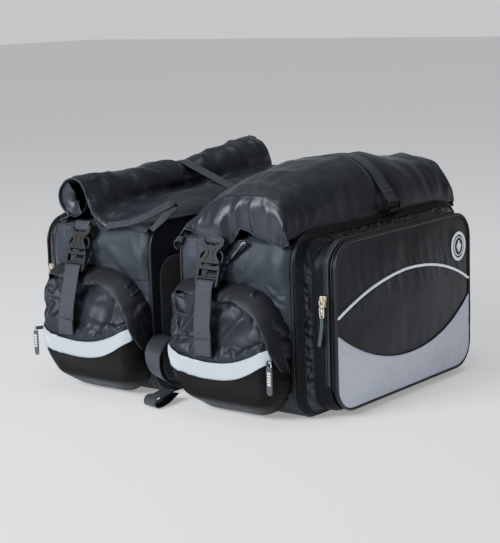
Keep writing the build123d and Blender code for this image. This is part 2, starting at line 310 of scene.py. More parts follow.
def make_materials():
    return {
        "floor": floor_material(),
        "shell": fabric("shell_fabric", (0.013, 0.0145, 0.018), 0.5),
        "roll": fabric("roll_fabric", (0.0092, 0.01, 0.0128), 0.33, shine=0.2, crease=0.9),
        "pocket": fabric("pocket_fabric", (0.0085, 0.0087, 0.0115), 0.44, shine=0.13, crease=0.7),
        "flap": fabric("flap_fabric", (0.0092, 0.009, 0.0102), 0.5, shine=0.12),
        # Darker, browner fabric for the end pockets below the strip: painted shade where the light falls off
        # towards the bottom
        "low": fabric("low_painted_shade_fabric", (0.0044, 0.0038, 0.0036), 0.44, shine=0.05),
        "lacquer": moulded("collar_cord", (0.006, 0.006, 0.007), 0.24, shine=0.5),
        "gusset": fabric("gusset_fabric", (0.0078, 0.0088, 0.011), 0.32, shine=0.24, gloss=0.12, crease=0.9),
        "band": fabric("band_fabric", (0.003, 0.0033, 0.0039), 0.4, shine=0.08, crease=0.7),
        "panel": fabric("panel_fabric", (0.0048, 0.0053, 0.0068), 0.34, shine=0.12, crease=0.8),
        "grey": fabric("grey_fabric", (0.325, 0.345, 0.425), 0.6, shine=0.2, sheen=0.1, crease=0.3),
        "piping": fabric("piping", (0.006, 0.006, 0.007), 0.4, shine=0.22, crease=0.3),
        "pad": pad_material(),
        "webbing": webbing_material(),
        "ribbon": fabric("ribbon", (0.035, 0.039, 0.044), 0.5, pitch=0.0012),
        "thread": moulded("thread", (0.016, 0.017, 0.02), 0.6),
        "grey_thread": moulded("grey_thread", (0.30, 0.32, 0.36), 0.6),
        "white_piping": reflective_material("white_piping", (0.80, 0.82, 0.85)),
        "tape": reflective_material("reflective_tape", (0.40, 0.53, 0.65)),
        "plastic": moulded("buckle_plastic", (0.012, 0.0115, 0.011), 0.46, shine=0.1),
        "zip": moulded("zip_tape", (0.008, 0.008, 0.009), 0.5, grain=0.6),
        "brass": moulded("zip_brass", (0.62, 0.47, 0.24), 0.3, metallic=1.0, scratch=1.0),
        "steel": moulded("pull_metal", (0.55, 0.5, 0.42), 0.3, metallic=1.0, scratch=1.0),
        "rubber": moulded("tag_rubber", (0.018, 0.019, 0.021), 0.55, grain=0.5),
        "print": moulded("badge_print", (0.74, 0.76, 0.78), 0.4, grain=0.4),
        "board": moulded("board", (0.03, 0.03, 0.032), 0.6),
    }


MATERIALS = make_materials()


# Mesh building

def add_smoothing(obj, levels):
    smooth = obj.modifiers.new("smooth", "SUBSURF")
    smooth.levels = smooth.render_levels = levels


def add_thickness(obj, thickness):
    """Cloth thickness on the inner side of a sheet."""
    thick = obj.modifiers.new("cloth_thickness", "SOLIDIFY")
    thick.thickness = thickness * MM
    thick.offset = -1


def make_piece(name, shape, finish, side, body, nodes=(), rear=False, bevel=0.0, subdivide=0):
    """Object from a shape in the right bag's millimetres, riding on one of a bag's bodies."""
    verts, faces = shape
    turn = SIDES[side] * (-1.0 if rear else 1.0)
    mesh = bpy.data.meshes.new(name)
    flip_y = -1.0 if rear else 1.0
    mesh.from_pydata(
        [(SIDES[side] * x * MM, flip_y * y * MM, z * MM) for x, y, z in verts], [],
        [tuple(reversed(f)) if turn < 0 else tuple(f) for f in faces])
    mesh.shade_smooth()
    mesh.materials.append(MATERIALS[finish])
    obj = bpy.data.objects.new(name, mesh)
    bpy.context.scene.collection.objects.link(obj)
    if bevel:
        edge = obj.modifiers.new("edges", "BEVEL")
        edge.width = bevel * MM
        edge.segments = 2
        edge.limit_method = "ANGLE"
        edge.angle_limit = math.radians(35)
        weighted = obj.modifiers.new("normals", "WEIGHTED_NORMAL")
        weighted.keep_sharp = True
    if subdivide:
        add_smoothing(obj, subdivide)
    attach(obj, body)
    if nodes:
        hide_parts(*nodes)
    return obj


def flipped(shape):
    """The same shape with its faces looking the other way."""
    return shape[0], [tuple(reversed(face)) for face in shape[1]]


def mirror_of(shape, middle=0.0):
    """Shape mirrored in x about the middle."""
    return flipped(([(2 * middle - x, y, z) for x, y, z in shape[0]], shape[1]))


def merge(*shapes):
    """One shape from several."""
    verts = []
    faces = []
    for more_verts, more_faces in shapes:
        start = len(verts)
        verts.extend(more_verts)
        faces.extend(tuple(i + start for i in face) for face in more_faces)
    return verts, faces


def loft(loops, closed=True, caps=True):
    """Skin over a row of point loops with the same number of points."""
    count = len(loops[0])
    verts = [tuple(p) for loop in loops for p in loop]
    faces = []
    steps = count if closed else count - 1
    for j in range(len(loops) - 1):
        for i in range(steps):
            k = (i + 1) % count
            faces.append((j * count + i, j * count + k, (j + 1) * count + k, (j + 1) * count + i))
    if caps and closed:
        faces.append(tuple(reversed(range(count))))
        faces.append(tuple(range((len(loops) - 1) * count, len(loops) * count)))
    return verts, faces


def grid_faces(columns, rows):
    """Four-sided faces over a grid of points, row after row."""
    row = columns + 1
    corners = [j * row + i for j in range(rows) for i in range(columns)]
    return [(a, a + 1, a + row + 1, a + row) for a in corners]


def patch(half_u, half_v, radius, count_u, count_v, place):
    """Grid over a rounded rectangle; place(u, v) gives each point."""
    verts = []
    for j in range(count_v + 1):
        for i in range(count_u + 1):
            u = half_u * (2 * i / count_u - 1)
            v = half_v * (2 * j / count_v - 1)
            over_u = abs(u) - half_u + radius
            over_v = abs(v) - half_v + radius
            if over_u > 0 and over_v > 0:
                pull = max(over_u, over_v) / math.hypot(over_u, over_v)
                u = math.copysign(half_u - radius + over_u * pull, u)
                v = math.copysign(half_v - radius + over_v * pull, v)
            verts.append(tuple(place(u, v)))
    return verts, grid_faces(count_u, count_v)


def shell_of(shape, thickness):
    """Closed sheet of even thickness from an open one, grown against its normals."""
    verts, faces = shape
    normals = [Vector((0, 0, 0)) for _ in verts]
    edges = {}
    for face in faces:
        a, b, c = (Vector(verts[i]) for i in face[:3])
        n = (b - a).cross(c - a)
        for i, start in enumerate(face):
            normals[start] += n
            edges[(start, face[(i + 1) % len(face)])] = True
    back = [tuple(Vector(v) - n.normalized() * thickness) for v, n in zip(verts, normals)]
    count = len(verts)
    out = list(faces) + [tuple(reversed([i + count for i in f])) for f in faces]
    for a, b in edges:
        if (b, a) not in edges:
            out.append((b, a, a + count, b + count))
    return list(verts) + back, out


def frames_along(path, across, closed=False):
    """Tangent, side and normal at each point of a path; across is the wished side direction."""
    count = len(path)
    points = [Vector(p) for p in path]
    made = []
    for i, point in enumerate(points):
        before = points[i - 1] if closed or i else point
        after = points[(i + 1) % count] if closed or i < count - 1 else point
        tangent = (after - before).normalized()
        side = Vector(across[i] if isinstance(across, list) else across)
        side = (side - tangent * side.dot(tangent)).normalized()
        made.append((point, tangent, side, tangent.cross(side)))
    return made


def sweep(path, section, across, closed=False):
    """Solid with a fixed section of (side, normal) offsets carried along a path."""
    loops = []
    for point, _, side, normal in frames_along(path, across, closed):
        loops.append([point + side * a + normal * b for a, b in section])
    if closed:
        loops.append(loops[0])
        verts, faces = loft(loops, caps=False)
        count = len(section)
        last = len(verts) - count
        faces = [tuple(i - last if i >= last else i for i in f) for f in faces]
        return verts[:last], faces
    return loft(loops)


def disc_section(radius, count=10, flat=1.0):
    return [(radius * math.cos(2 * math.pi * i / count), flat * radius * math.sin(2 * math.pi * i / count))
            for i in range(count)]


def strap_section(width, thickness, across_count=6):
    """Rounded flat section of a webbing strap."""
    half, h = width / 2, thickness / 2
    top = [(-half + h + (width - 2 * h) * i / across_count, h) for i in range(across_count + 1)]
    bottom = [(x, -h) for x, _ in reversed(top)]
    return top + [(half, 0)] + bottom + [(-half, 0)]


def tube(path, radius, across=(1, 0, 0), closed=False):
    return sweep(path, disc_section(radius), across, closed)


def curve(points, steps=8):
    """Smooth path through a few points (Catmull-Rom)."""
    pts = [Vector(p) for p in points]
    pts = [pts[0] * 2 - pts[1]] + pts + [pts[-1] * 2 - pts[-2]]
    path = []
    for a, b, c, d in zip(pts, pts[1:], pts[2:], pts[3:]):
        for i in range(steps):
            t = i / steps
            path.append(0.5 * (2 * b + (c - a) * t + (2 * a - 5 * b + 4 * c - d) * t * t
                               + (3 * b - a - 3 * c + d) * t ** 3))
    return path + [pts[-2]]


def resample(path, step, closed=False):
    """Points an even distance apart along a path."""
    pts = [Vector(p) for p in path]
    if closed:
        pts.append(pts[0])
    lengths = [0.0]
    for a, b in zip(pts, pts[1:]):
        lengths.append(lengths[-1] + (b - a).length)
    count = max(2, round(lengths[-1] / step))
    out = []
    k = 0
    for i in range(count + (0 if closed else 1)):
        want = lengths[-1] * i / count
        while k < len(pts) - 2 and lengths[k + 1] < want:
            k += 1
        gap = lengths[k + 1] - lengths[k]
        out.append(pts[k].lerp(pts[k + 1], (want - lengths[k]) / gap if gap else 0))
    return out


def stitches(path, out, pitch=4.2, length=2.9, radius=0.33):
    """Row of thread stitches lying along a path; out(point) is the surface normal there."""
    points = resample(path, pitch)
    shapes = []
    for i, point in enumerate(points):
        ahead = points[i + 1] if i < len(points) - 1 else point * 2 - points[i - 1]
        along = (ahead - point).normalized()
        normal = Vector(out(point)).normalized()
        side = along.cross(normal)
        half = along * (length / 2)
        ring = [point + side * radius, point + normal * radius,
                point - side * radius, point - normal * radius]
        tips = [point - half, point + half]
        verts = [tuple(v) for v in ring + tips]
        faces = [(k, 4, (k + 1) % 4) for k in range(4)] + [((k + 1) % 4, 5, k) for k in range(4)]
        shapes.append((verts, faces))
    return merge(*shapes)


def plate(outline, low, high):
    """Flat solid from a convex or simple outline of (a, b) points between two heights."""
    return loft([[(a, b, low) for a, b in outline], [(a, b, high) for a, b in outline]])


def bar(low, high):
    """Box between two corners, for bevelled fittings."""
    (x0, y0, z0), (x1, y1, z1) = low, high
    return plate([(x0, y0), (x1, y0), (x1, y1), (x0, y1)], z0, z1)


def moved(shape, transform):
    verts, faces = shape
    return [tuple(transform @ Vector(v)) for v in verts], faces


def frange(low, high, step):
    """Even steps from low to high, both included."""
    count = max(1, round((high - low) / step))
    return [low + (high - low) * i / count for i in range(count + 1)]


def ripple(x, y, z=0.0):
    """Smooth noise from -1 to 1."""
    return noise.noise(Vector((x, y, z)))


def ridge(x, y, z=0.0, sharp=2.0):
    """Noise with narrow crests, from 0 to 1."""
    return (1 - abs(noise.noise(Vector((x, y, z))))) ** sharp


def smoothstep(low, high, value):
    t = min(max((value - low) / (high - low), 0.0), 1.0)
    return t * t * (3 - 2 * t)


def between(value, pairs):
    """Smooth interpolation through (place, height) pairs."""
    if value <= pairs[0][0]:
        return pairs[0][1]
    for (a, low), (b, high) in zip(pairs, pairs[1:]):
        if value <= b:
            return low + (high - low) * smoothstep(a, b, value)
    return pairs[-1][1]


def rounded_loop(half, low, high, radius, across=60, upright=36, arc=9):
    """Points (y, z) round an upright rounded rectangle, starting at its lower right corner."""
    points = []
    corners = ((1, low + radius), (1, high - radius), (-1, high - radius), (-1, low + radius))
    for k, (sign, z) in enumerate(corners):
        for i in range(arc):
            angle = math.radians(-90 + 90 * k + 90 * i / (arc - 1))
            points.append((sign * (half - radius) + radius * math.cos(angle), z + radius * math.sin(angle)))
        next_sign, next_z = corners[(k + 1) % 4]
        start = points[-1]
        if k % 2 == 0:
            end = (start[0], next_z)
            count = upright
        else:
            end = (next_sign * (half - radius), start[1])
            count = across
        for i in range(1, count):
            t = i / count
            points.append((start[0] + (end[0] - start[0]) * t, start[1] + (end[1] - start[1]) * t))
    return points


def loop_at(x, half, low, high, radius):
    return [(x, y, z) for y, z in rounded_loop(half, low, high, radius)]


def outward(point):
    """Direction away from the middle line of a bag, in the Y and Z plane."""
    y, z = point[1], point[2]
    flat_y = max(min(y, BODY_HALF - BODY_CORNER), BODY_CORNER - BODY_HALF)
    flat_z = max(min(z, BODY_TOP - BODY_CORNER), BODY_CORNER)
    out = Vector((0, y - flat_y, z - flat_z))
    return out.normalized() if out.length else Vector((0, 0, 1))


# Main body

def body_skin(side):
    """Padded shell: crowned end walls, soft dents and a flat underside."""
    seed = SEED[side]
    x0, x1 = BODY_LOW[0], BODY_HIGH[0]
    stations = [0.0, 0.006, 0.02, 0.045] + [0.07 + 0.92 * i / 48 for i in range(49)] + [0.996, 1.0]
    loops = []
    for t in stations:
        x = x0 + (x1 - x0) * t
        swell = 8.0 * math.sin(math.pi * t) ** 0.4
        tuck = 2.5 * (1 - min(t, 1 - t, 0.03) / 0.03)
        loop = []
        ring = rounded_loop(BODY_HALF - tuck, 0.4 + tuck * 0.5, BODY_TOP - tuck, BODY_CORNER, upright=78)
        for y, z in ring:
            out = outward((x, y, z))
            end_face = abs(out.y)
            drawn = smoothstep(0.72, 0.93, t) * smoothstep(0.995, 0.96, t) * smoothstep(15, 50, z)
            zigzag = ridge(z * 0.055 + x * 0.03, x * 0.02, seed + math.copysign(2, y), 2.5) - 0.55
            zigzag += 0.5 * ripple(z * 0.13 - x * 0.05, x * 0.04, seed)
            dent = 2.2 * ripple(x * 0.022 + seed, z * 0.016, math.copysign(3, y))
            dent += 1.6 * (ridge(x * 0.03 + z * 0.012, z * 0.02 + seed, y * 0.002, 6) - 0.4)
            by_seam = 1 - smoothstep(0.02, 0.14, min(t, 1 - t))
            pucker = 1.3 * ripple(x * 0.02, (z + y) * 0.16, seed) * by_seam
            push = (swell + dent + 4.6 * zigzag * drawn) * end_face + pucker
            if out.z < 0:
                push *= 1 + out.z
            loop.append((x, y + out.y * push, max(z + out.z * push, 0.3)))
        loops.append(loop)
    walls = loft(loops, caps=False)
    faces = []
    for x, turn in ((x0, -1), (x1, 1)):
        def place(u, v, x=x, turn=turn):
            lift = 2.5 * math.cos(u / BODY_HALF * 1.5) * math.cos(v / 131 * 1.5)
            lift += 1.1 * ripple(u * 0.03, v * 0.012, seed + x)
            return (x + turn * lift, u, 131 + v)
        cap = patch(BODY_HALF - 2.5, BODY_TOP / 2 - 2.5, BODY_CORNER - 2, 60, 36, place)
        if turn < 0:
            cap = flipped(cap)
        faces.append(cap)
    return merge(walls, *faces)


def edge_piping(x):
    loop = loop_at(x, BODY_HALF - 0.6, 1.8, BODY_TOP - 0.6, BODY_CORNER)
    return tube(resample(loop, 5, closed=True), 2.0, closed=True)


def add_end_facing(side, end):
    """Upper part of an end wall: it stands straight up to a free hem under the hood."""
    rear = end == "rear"
    seed = SEED[side] + (7 if rear else 0)
    loops = []
    for x in frange(BODY_LOW[0] + 2, BODY_HIGH[0] - 1, 4):
        edge = smoothstep(BODY_LOW[0], BODY_LOW[0] + 14, x) * smoothstep(BODY_HIGH[0], BODY_HIGH[0] - 14, x)
        top = 249 + 2.5 * ripple(x * 0.03, seed) - 3 * (1 - edge)
        loop = []
        for t in frange(0, 1, 0.08):
            z = 176 + (top - 176) * t
            over = max(z - (BODY_TOP - BODY_CORNER), 0)
            wall = BODY_HALF - BODY_CORNER + math.sqrt(max(BODY_CORNER ** 2 - over ** 2, 0)) + 5 * edge
            crest = ridge(x * 0.016 - z * 0.012, z * 0.011, seed + 1, 3.5)
            crease = 6.0 * (crest - 0.45) * smoothstep(1, 0.7, t)
            wavy = 2.2 * ripple(x * 0.035, z * 0.02, seed)
            straight = BODY_HALF + 6.5 + wavy - 7 * smoothstep(0.5, 1, t) + crease
            stand = smoothstep(0.1, 0.35, t) * edge
            loop.append((x, -(wall + 0.8 + max(straight - wall, 0) * stand), z))
        loops.append(loop)
    sheet = flipped(loft(loops, closed=False, caps=False))
    bag = f"{side}_bag"
    wall = make_piece(f"{side}_{end}_wall_top", shell_of(sheet, 1.2), "shell", side, bag,
                      rear=rear, subdivide=1)
    hem = [Vector(loop[-1]) for loop in loops]
    bound = make_piece(f"{side}_{end}_wall_hem", tube(hem, 1.3, (0, 1, 0)), "shell", side, bag, rear=rear)


def add_body(side):
    bag = f"{side}_bag"
    body = make_piece(f"{side}_body", body_skin(side), "shell", side, bag,
                      [f"{side}_body_shell", f"{side}_base_board"])
    pipings = merge(edge_piping(BODY_LOW[0] - 1.2), edge_piping(BODY_HIGH[0] + 1.2))
    make_piece(f"{side}_edge_piping", pipings, "piping", side, bag, [f"{side}_body_piping"])
    seams = []
    for x in (BODY_LOW[0] + 9, BODY_HIGH[0] - 9):
        loop = loop_at(x, BODY_HALF + 2.1, 0.8, BODY_TOP + 1, BODY_CORNER)
        seams.append(stitches([p for p in loop if p[2] > 6], outward))
    make_piece(f"{side}_body_stitching", merge(*seams), "thread", side, bag)
    for end in ENDS:
        add_end_facing(side, end)

    def pad_place(u, v):
        crown = 4.2 * (1 - (abs(u) / 195) ** 8) * (1 - (abs(v) / 96.5) ** 6)
        groove = 1.2 * (smoothstep(0, 3, abs(abs(u) - 66)) + smoothstep(0, 3, abs(v)))
        return (PAD_HIGH[0] + 0.2 - crown * 0.5 - groove, u, (PAD_LOW[2] + PAD_HIGH[2]) / 2 + v)
    pad = shell_of(flipped(patch(PAD_HIGH[1], (PAD_HIGH[2] - PAD_LOW[2]) / 2, 30, 130, 64, pad_place)), -1.6)
    make_piece(f"{side}_pad", pad, "pad", side, bag, [f"{side}_back_pad"])


# Outer pocket

def add_gusset(side):
    """Top-stitched strip beside the piping, gathered bellows behind it and the smooth side band."""
    seed = SEED[side]
    bag = f"{side}_bag"
    stations = [(229.5, 0.5, 0), (232, 1.6, 0), (236, 4.6, 0), (239.5, 8.2, 0), (240.5, 9.6, 0)]
    stations += [(240.5 + 5.5 * t, 9.6 + 13.4 * t, math.sin(math.pi * t) ** 0.6)
                 for t in frange(0.1, 1, 0.1)]
    loops = []
    for x, inset, gather in stations:
        loop = []
        ring = rounded_loop(BODY_HALF - inset, 3 + inset * 0.4, BODY_TOP - inset * 0.72, BODY_CORNER - 4,
                            across=150, upright=90, arc=22)
        for i, (y, z) in enumerate(ring):
            run = i * 0.15
            pleat = ridge(run, inset * 0.05 + seed, 0.0, 1.3) - 0.55
            pleat += 0.6 * ripple(run * 2.1, inset * 0.16, seed)
            push = gather * (4.4 * pleat * (0.75 + 0.6 * ripple(run * 0.23, seed)) - 1.5)
            soft = 0.7 * ripple(run * 0.8, inset * 0.1, seed + 4)
            soft += 1.5 * (ridge(run * 0.55, inset * 0.06, seed + 6, 2) - 0.5) * smoothstep(120, 215, z)
            out = outward((0, y, z))
            loop.append((x + push + soft * 0.5, y + out.y * (soft + push * 0.3), max(z + out.z * soft, 0.6)))
        loops.append(loop)
    make_piece(f"{side}_gusset", shell_of(loft(loops, caps=False), 0.8), "gusset", side, bag,
               [f"{side}_pocket_walls"])
    strip = loft([[(x + 0.9, y + outward((0, y, z)).y * 0.9, z + outward((0, y, z)).z * 0.9)
                   for x, y, z in loop] for loop in loops[:5]], caps=False)
    make_piece(f"{side}_edge_strip", shell_of(strip, 0.8), "band", side, bag)
    seams = []
    for station, inset in ((1, 1.6), (3, 8.2)):
        line = [(x + 1.6, y + outward((0, y, z)).y * 1.6, z + outward((0, y, z)).z * 1.6)
                for x, y, z in loops[station] if z > 6]
        seams.append(stitches(line, lambda p: outward(p) + Vector((0.7, 0, 0)), radius=0.28))
    make_piece(f"{side}_strip_stitching", merge(*seams), "thread", side, bag)
    loops = []
    rows = 12
    for j in range(rows + 1):
        t = j / rows
        x = GUSSET_X - 2 + (PANEL_LOW[0] - GUSSET_X + 1.5) * t
        belly = math.sin(math.pi * t)
        half = BODY_HALF - 24 + (PANEL_HALF + 1 - BODY_HALF + 24) * t
        ring = rounded_loop(half, 9 + 2 * t, BODY_TOP - 15.5 + (PANEL_HIGH[2] + 1 - BODY_TOP + 15.5) * t,
                            PANEL_CORNER, across=90, upright=54, arc=14)
        loop = []
        for i, (y, z) in enumerate(ring):
            fold = ripple(i * 0.11, t * 0.9, seed + 9) + 0.6 * ripple(i * 0.32, t * 2, seed)
            push = (3.0 * fold * (1 - 0.75 * t) + 1.8) * (belly * 0.8 + 0.2 * (1 - t))
            out = outward((0, y, z))
            loop.append((x, y + out.y * push, max(z + out.z * push, 0.8)))
        loops.append(loop)
    make_piece(f"{side}_side_band", shell_of(loft(loops, caps=False), 1.0), "band", side, bag)
    back_seam = loop_at(GUSSET_X - 0.5, BODY_HALF - 23.6, 9, BODY_TOP - 15, PANEL_CORNER)
    make_piece(f"{side}_back_seam", tube(resample(back_seam, 4, closed=True), 1.1, closed=True), "piping",
               side, bag)


ZIP_X = 261.5
TOOTH = [(-2, -0.5), (2, -0.5), (2, 0.5), (-2, 0.5)]
BOX_FACES = [(0, 1, 2, 3), (7, 6, 5, 4), (0, 4, 5, 1), (1, 5, 6, 2), (2, 6, 7, 3), (3, 7, 4, 0)]


def zip_path():
    """Three sides of the side band, from the lower front round the top to the lower rear."""
    ring = rounded_loop(PANEL_HALF + 3.6, 11, PANEL_HIGH[2] + 1.6, PANEL_CORNER + 1)
    upper = [p for p in ring if p[1] > 44]
    split = max(range(len(upper) - 1), key=lambda i: math.dist(upper[i], upper[i + 1]))
    ordered = upper[split + 1:] + upper[:split + 1]
    return [Vector((ZIP_X, y, z)) for y, z in ordered]


def add_zip(side):
    bag = f"{side}_bag"
    path = resample(zip_path(), 3)
    section = [(-5.5, -0.5), (5.5, -0.5), (5.5, 0.3), (-5.5, 0.3)]
    tape = sweep(path, section, (1, 0, 0))
    make_piece(f"{side}_zip_tape", tape, "zip", side, bag, [f"{side}_pocket_zip"])
    teeth = []
    for point, along, across, normal in frames_along(resample(zip_path(), 1.9), (1, 0, 0)):
        sign = 1 if normal.dot(outward(point)) > 0 else -1
        lift = normal * (0.9 * sign)
        ring = [point + lift + across * a + along * b for a, b in TOOTH]
        top = [p + normal * (0.8 * sign) for p in ring]
        verts = [tuple(v) for v in ring + top]
        teeth.append((verts, BOX_FACES))
    make_piece(f"{side}_zip_teeth", merge(*teeth), "zip", side, bag)


WHITE_ARC = (146.0, 190.0)
GREY_ARC = (121.0, 65.0)


def panel_bulge(y, z):
    """How far the pillowed panel stands in front of its edge, with gathers from its top and arcs."""
    u = y / PANEL_HALF
    v = (z - 130) / 118
    crown = 8.0 * (1 - abs(u) ** 2.6) * (1 - abs(v) ** 2.6)
    edge = smoothstep(0, 0.25, 1 - abs(u)) * smoothstep(0, 0.2, 1 - abs(v))
    top_gather = ripple(y * 0.055, z * 0.008, 7) * smoothstep(-0.1, 0.9, v)
    low_gather = ripple(y * 0.045, z * 0.01, 11) * smoothstep(0.4, -0.3, v)
    broad = ripple(y * 0.014, z * 0.017, 5)
    arc = arc_height(y, *WHITE_ARC)
    by_arc = smoothstep(34, 4, abs(z - arc)) * smoothstep(0, 4, abs(z - arc))
    pucker = ripple(y * 0.09 + z * 0.03, z * 0.02, 17)
    return crown + edge * (0.7 * top_gather + 0.5 * low_gather + 1.6 * broad + 1.1 * by_arc * pucker)


def on_panel(y, z, lift=0.0):
    return Vector((PANEL_FACE - 1.0 + panel_bulge(y, z) + lift, y, z))


def arc_height(y, ends, middle):
    """Height of a circular arc over the panel, from its ends' and middle's heights."""
    half = PANEL_HALF - 4
    sag = middle - ends
    radius = (half * half + sag * sag) / (2 * abs(sag))
    drop = radius - math.sqrt(radius * radius - min(abs(y), half) ** 2)
    return middle - math.copysign(drop, sag)


def lower_edge(y, inset):
    """Lowest z of the panel's outline at y."""
    half, radius = PANEL_HALF - inset, PANEL_CORNER - inset
    low = PANEL_LOW[2] + inset
    over = abs(y) - (half - radius)
    if over <= 0:
        return low
    return low + radius - math.sqrt(max(radius * radius - over * over, 0))


def add_panel(side):
    body = f"{side}_panel"
    middle = (PANEL_LOW[2] + PANEL_HIGH[2]) / 2
    tall = (PANEL_HIGH[2] - PANEL_LOW[2]) / 2

    def front(u, v):
        return on_panel(u, middle + v)
    face = patch(PANEL_HALF, tall, PANEL_CORNER, 150, 100, front)
    ring = [(PANEL_LOW[0], 0.5), (PANEL_LOW[0] + 3, 0.0), (PANEL_FACE - 2, 0.4), (PANEL_FACE - 0.6, 0.0)]
    walls = loft([loop_at(x, PANEL_HALF - i, PANEL_LOW[2] + i, PANEL_HIGH[2] - i, PANEL_CORNER - i)
                  for x, i in ring], caps=False)
    back = patch(PANEL_HALF - 1, tall - 1, PANEL_CORNER - 1, 40, 26,
                 lambda u, v: (PANEL_LOW[0] + 1.5, u, middle + v))
    back = flipped(back)
    panel = make_piece(f"{side}_front_panel", merge(face, walls, back), "panel", side, body,
                       [f"{side}_pocket_panel"])
    rim = loop_at(PANEL_FACE - 0.6, PANEL_HALF + 0.6, PANEL_LOW[2] - 0.6, PANEL_HIGH[2] + 0.6, PANEL_CORNER)
    rim_back = loop_at(PANEL_LOW[0] + 0.8, PANEL_HALF + 0.4, PANEL_LOW[2] - 0.4, PANEL_HIGH[2] + 0.4,
                       PANEL_CORNER)
    above_fold = [p for p in rim_back if p[2] > PANEL_LOW[2] + 24]
    start = max(range(len(above_fold) - 1), key=lambda i: math.dist(above_fold[i], above_fold[i + 1])) + 1
    above_fold = above_fold[start:] + above_fold[:start]
    pipings = merge(tube(resample(rim, 4, closed=True), 2.3, closed=True),
                    tube(resample(above_fold, 4), 1.2))
    make_piece(f"{side}_panel_edge_piping", pipings, "piping", side, body, [f"{side}_panel_piping"])

    arc = [on_panel(y, arc_height(y, *WHITE_ARC), 0.7) for y in frange(-PANEL_HALF + 2, PANEL_HALF - 2, 3)]
    make_piece(f"{side}_white_arc", tube(arc, 1.75), "white_piping", side, body, [f"{side}_white_piping"])

    columns = 150
    rows = 44
    verts = []
    for j in range(rows + 1):
        for i in range(columns + 1):
            y = (PANEL_HALF - 1.5) * (2 * i / columns - 1)
            low = lower_edge(y, 1.2)
            high = arc_height(y, *GREY_ARC)
            t = j / rows
            hem = 0.9 - 0.5 * smoothstep(0.94, 1.0, t)
            crease = 0.7 * ripple(y * 0.05, t * 0.6, 21) * math.sin(math.pi * t)
            crease += 0.8 * ridge(t * 9, y * 0.01, 3, 3) * smoothstep(PANEL_HALF - 26, PANEL_HALF - 4, abs(y))
            verts.append(tuple(on_panel(y, low + (high - low) * t, hem + crease)))
    make_piece(f"{side}_grey_panel", shell_of((verts, grid_faces(columns, rows)), 0.8), "grey", side, body,
               [f"{side}_grey_insert"])
    hem_line = [on_panel(y, arc_height(y, *GREY_ARC) + 0.8, 0.5)
                for y in frange(-PANEL_HALF + 3, PANEL_HALF - 3, 3)]
    make_piece(f"{side}_grey_hem", tube(hem_line, 0.9), "panel", side, body)

    def facing(_):
        return (1, 0, 0)
    rows_of_thread = []
    for ends, shift in ((WHITE_ARC, 5.2), (WHITE_ARC, -5.2), (GREY_ARC, 4.6)):
        line = [on_panel(y, arc_height(y, *ends) + shift, 0.25)
                for y in frange(-PANEL_HALF + 5, PANEL_HALF - 5, 4)]
        rows_of_thread.append(stitches(line, facing, radius=0.28))
    make_piece(f"{side}_panel_stitching", merge(*rows_of_thread), "thread", side, body)
    add_badge(side)


def add_badge(side):
    """Plain ring round a small diamond."""
    centre_y, centre_z = 143.0, 200.0
    shapes = []
    for inner, outer in ((18.0, 22.0), (13.5, 14.6)):
        loops = []
        for radius, lift in ((inner, 0.1), (inner, 1.4), (outer, 1.4), (outer, 0.1)):
            loops.append([on_panel(centre_y + radius * math.cos(a), centre_z + radius * math.sin(a), lift)
                          for a in frange(0, 2 * math.pi, 2 * math.pi / 64)[:-1]])
        loops.append(loops[0])
        shapes.append(loft(loops, caps=False))
    corners = [(0, 9), (-7, 0), (0, -9), (7, 0)]
    front = [tuple(on_panel(centre_y + a, centre_z + b, 1.6)) for a, b in corners]
    back = [tuple(on_panel(centre_y + a, centre_z + b, 0.0)) for a, b in corners]
    tip = tuple(on_panel(centre_y, centre_z, 2.8))
    verts = back + front + [tip]
    faces = [(3, 2, 1, 0)] + [(k, (k + 1) % 4, 4 + (k + 1) % 4, 4 + k) for k in range(4)]
    faces += [(4 + k, 4 + (k + 1) % 4, 8) for k in range(4)]
    shapes.append(flipped((verts, faces)))
    make_piece(f"{side}_badge_mark", merge(*shapes), "print", side, f"{side}_panel",
               [f"{side}_badge"], bevel=0.3)


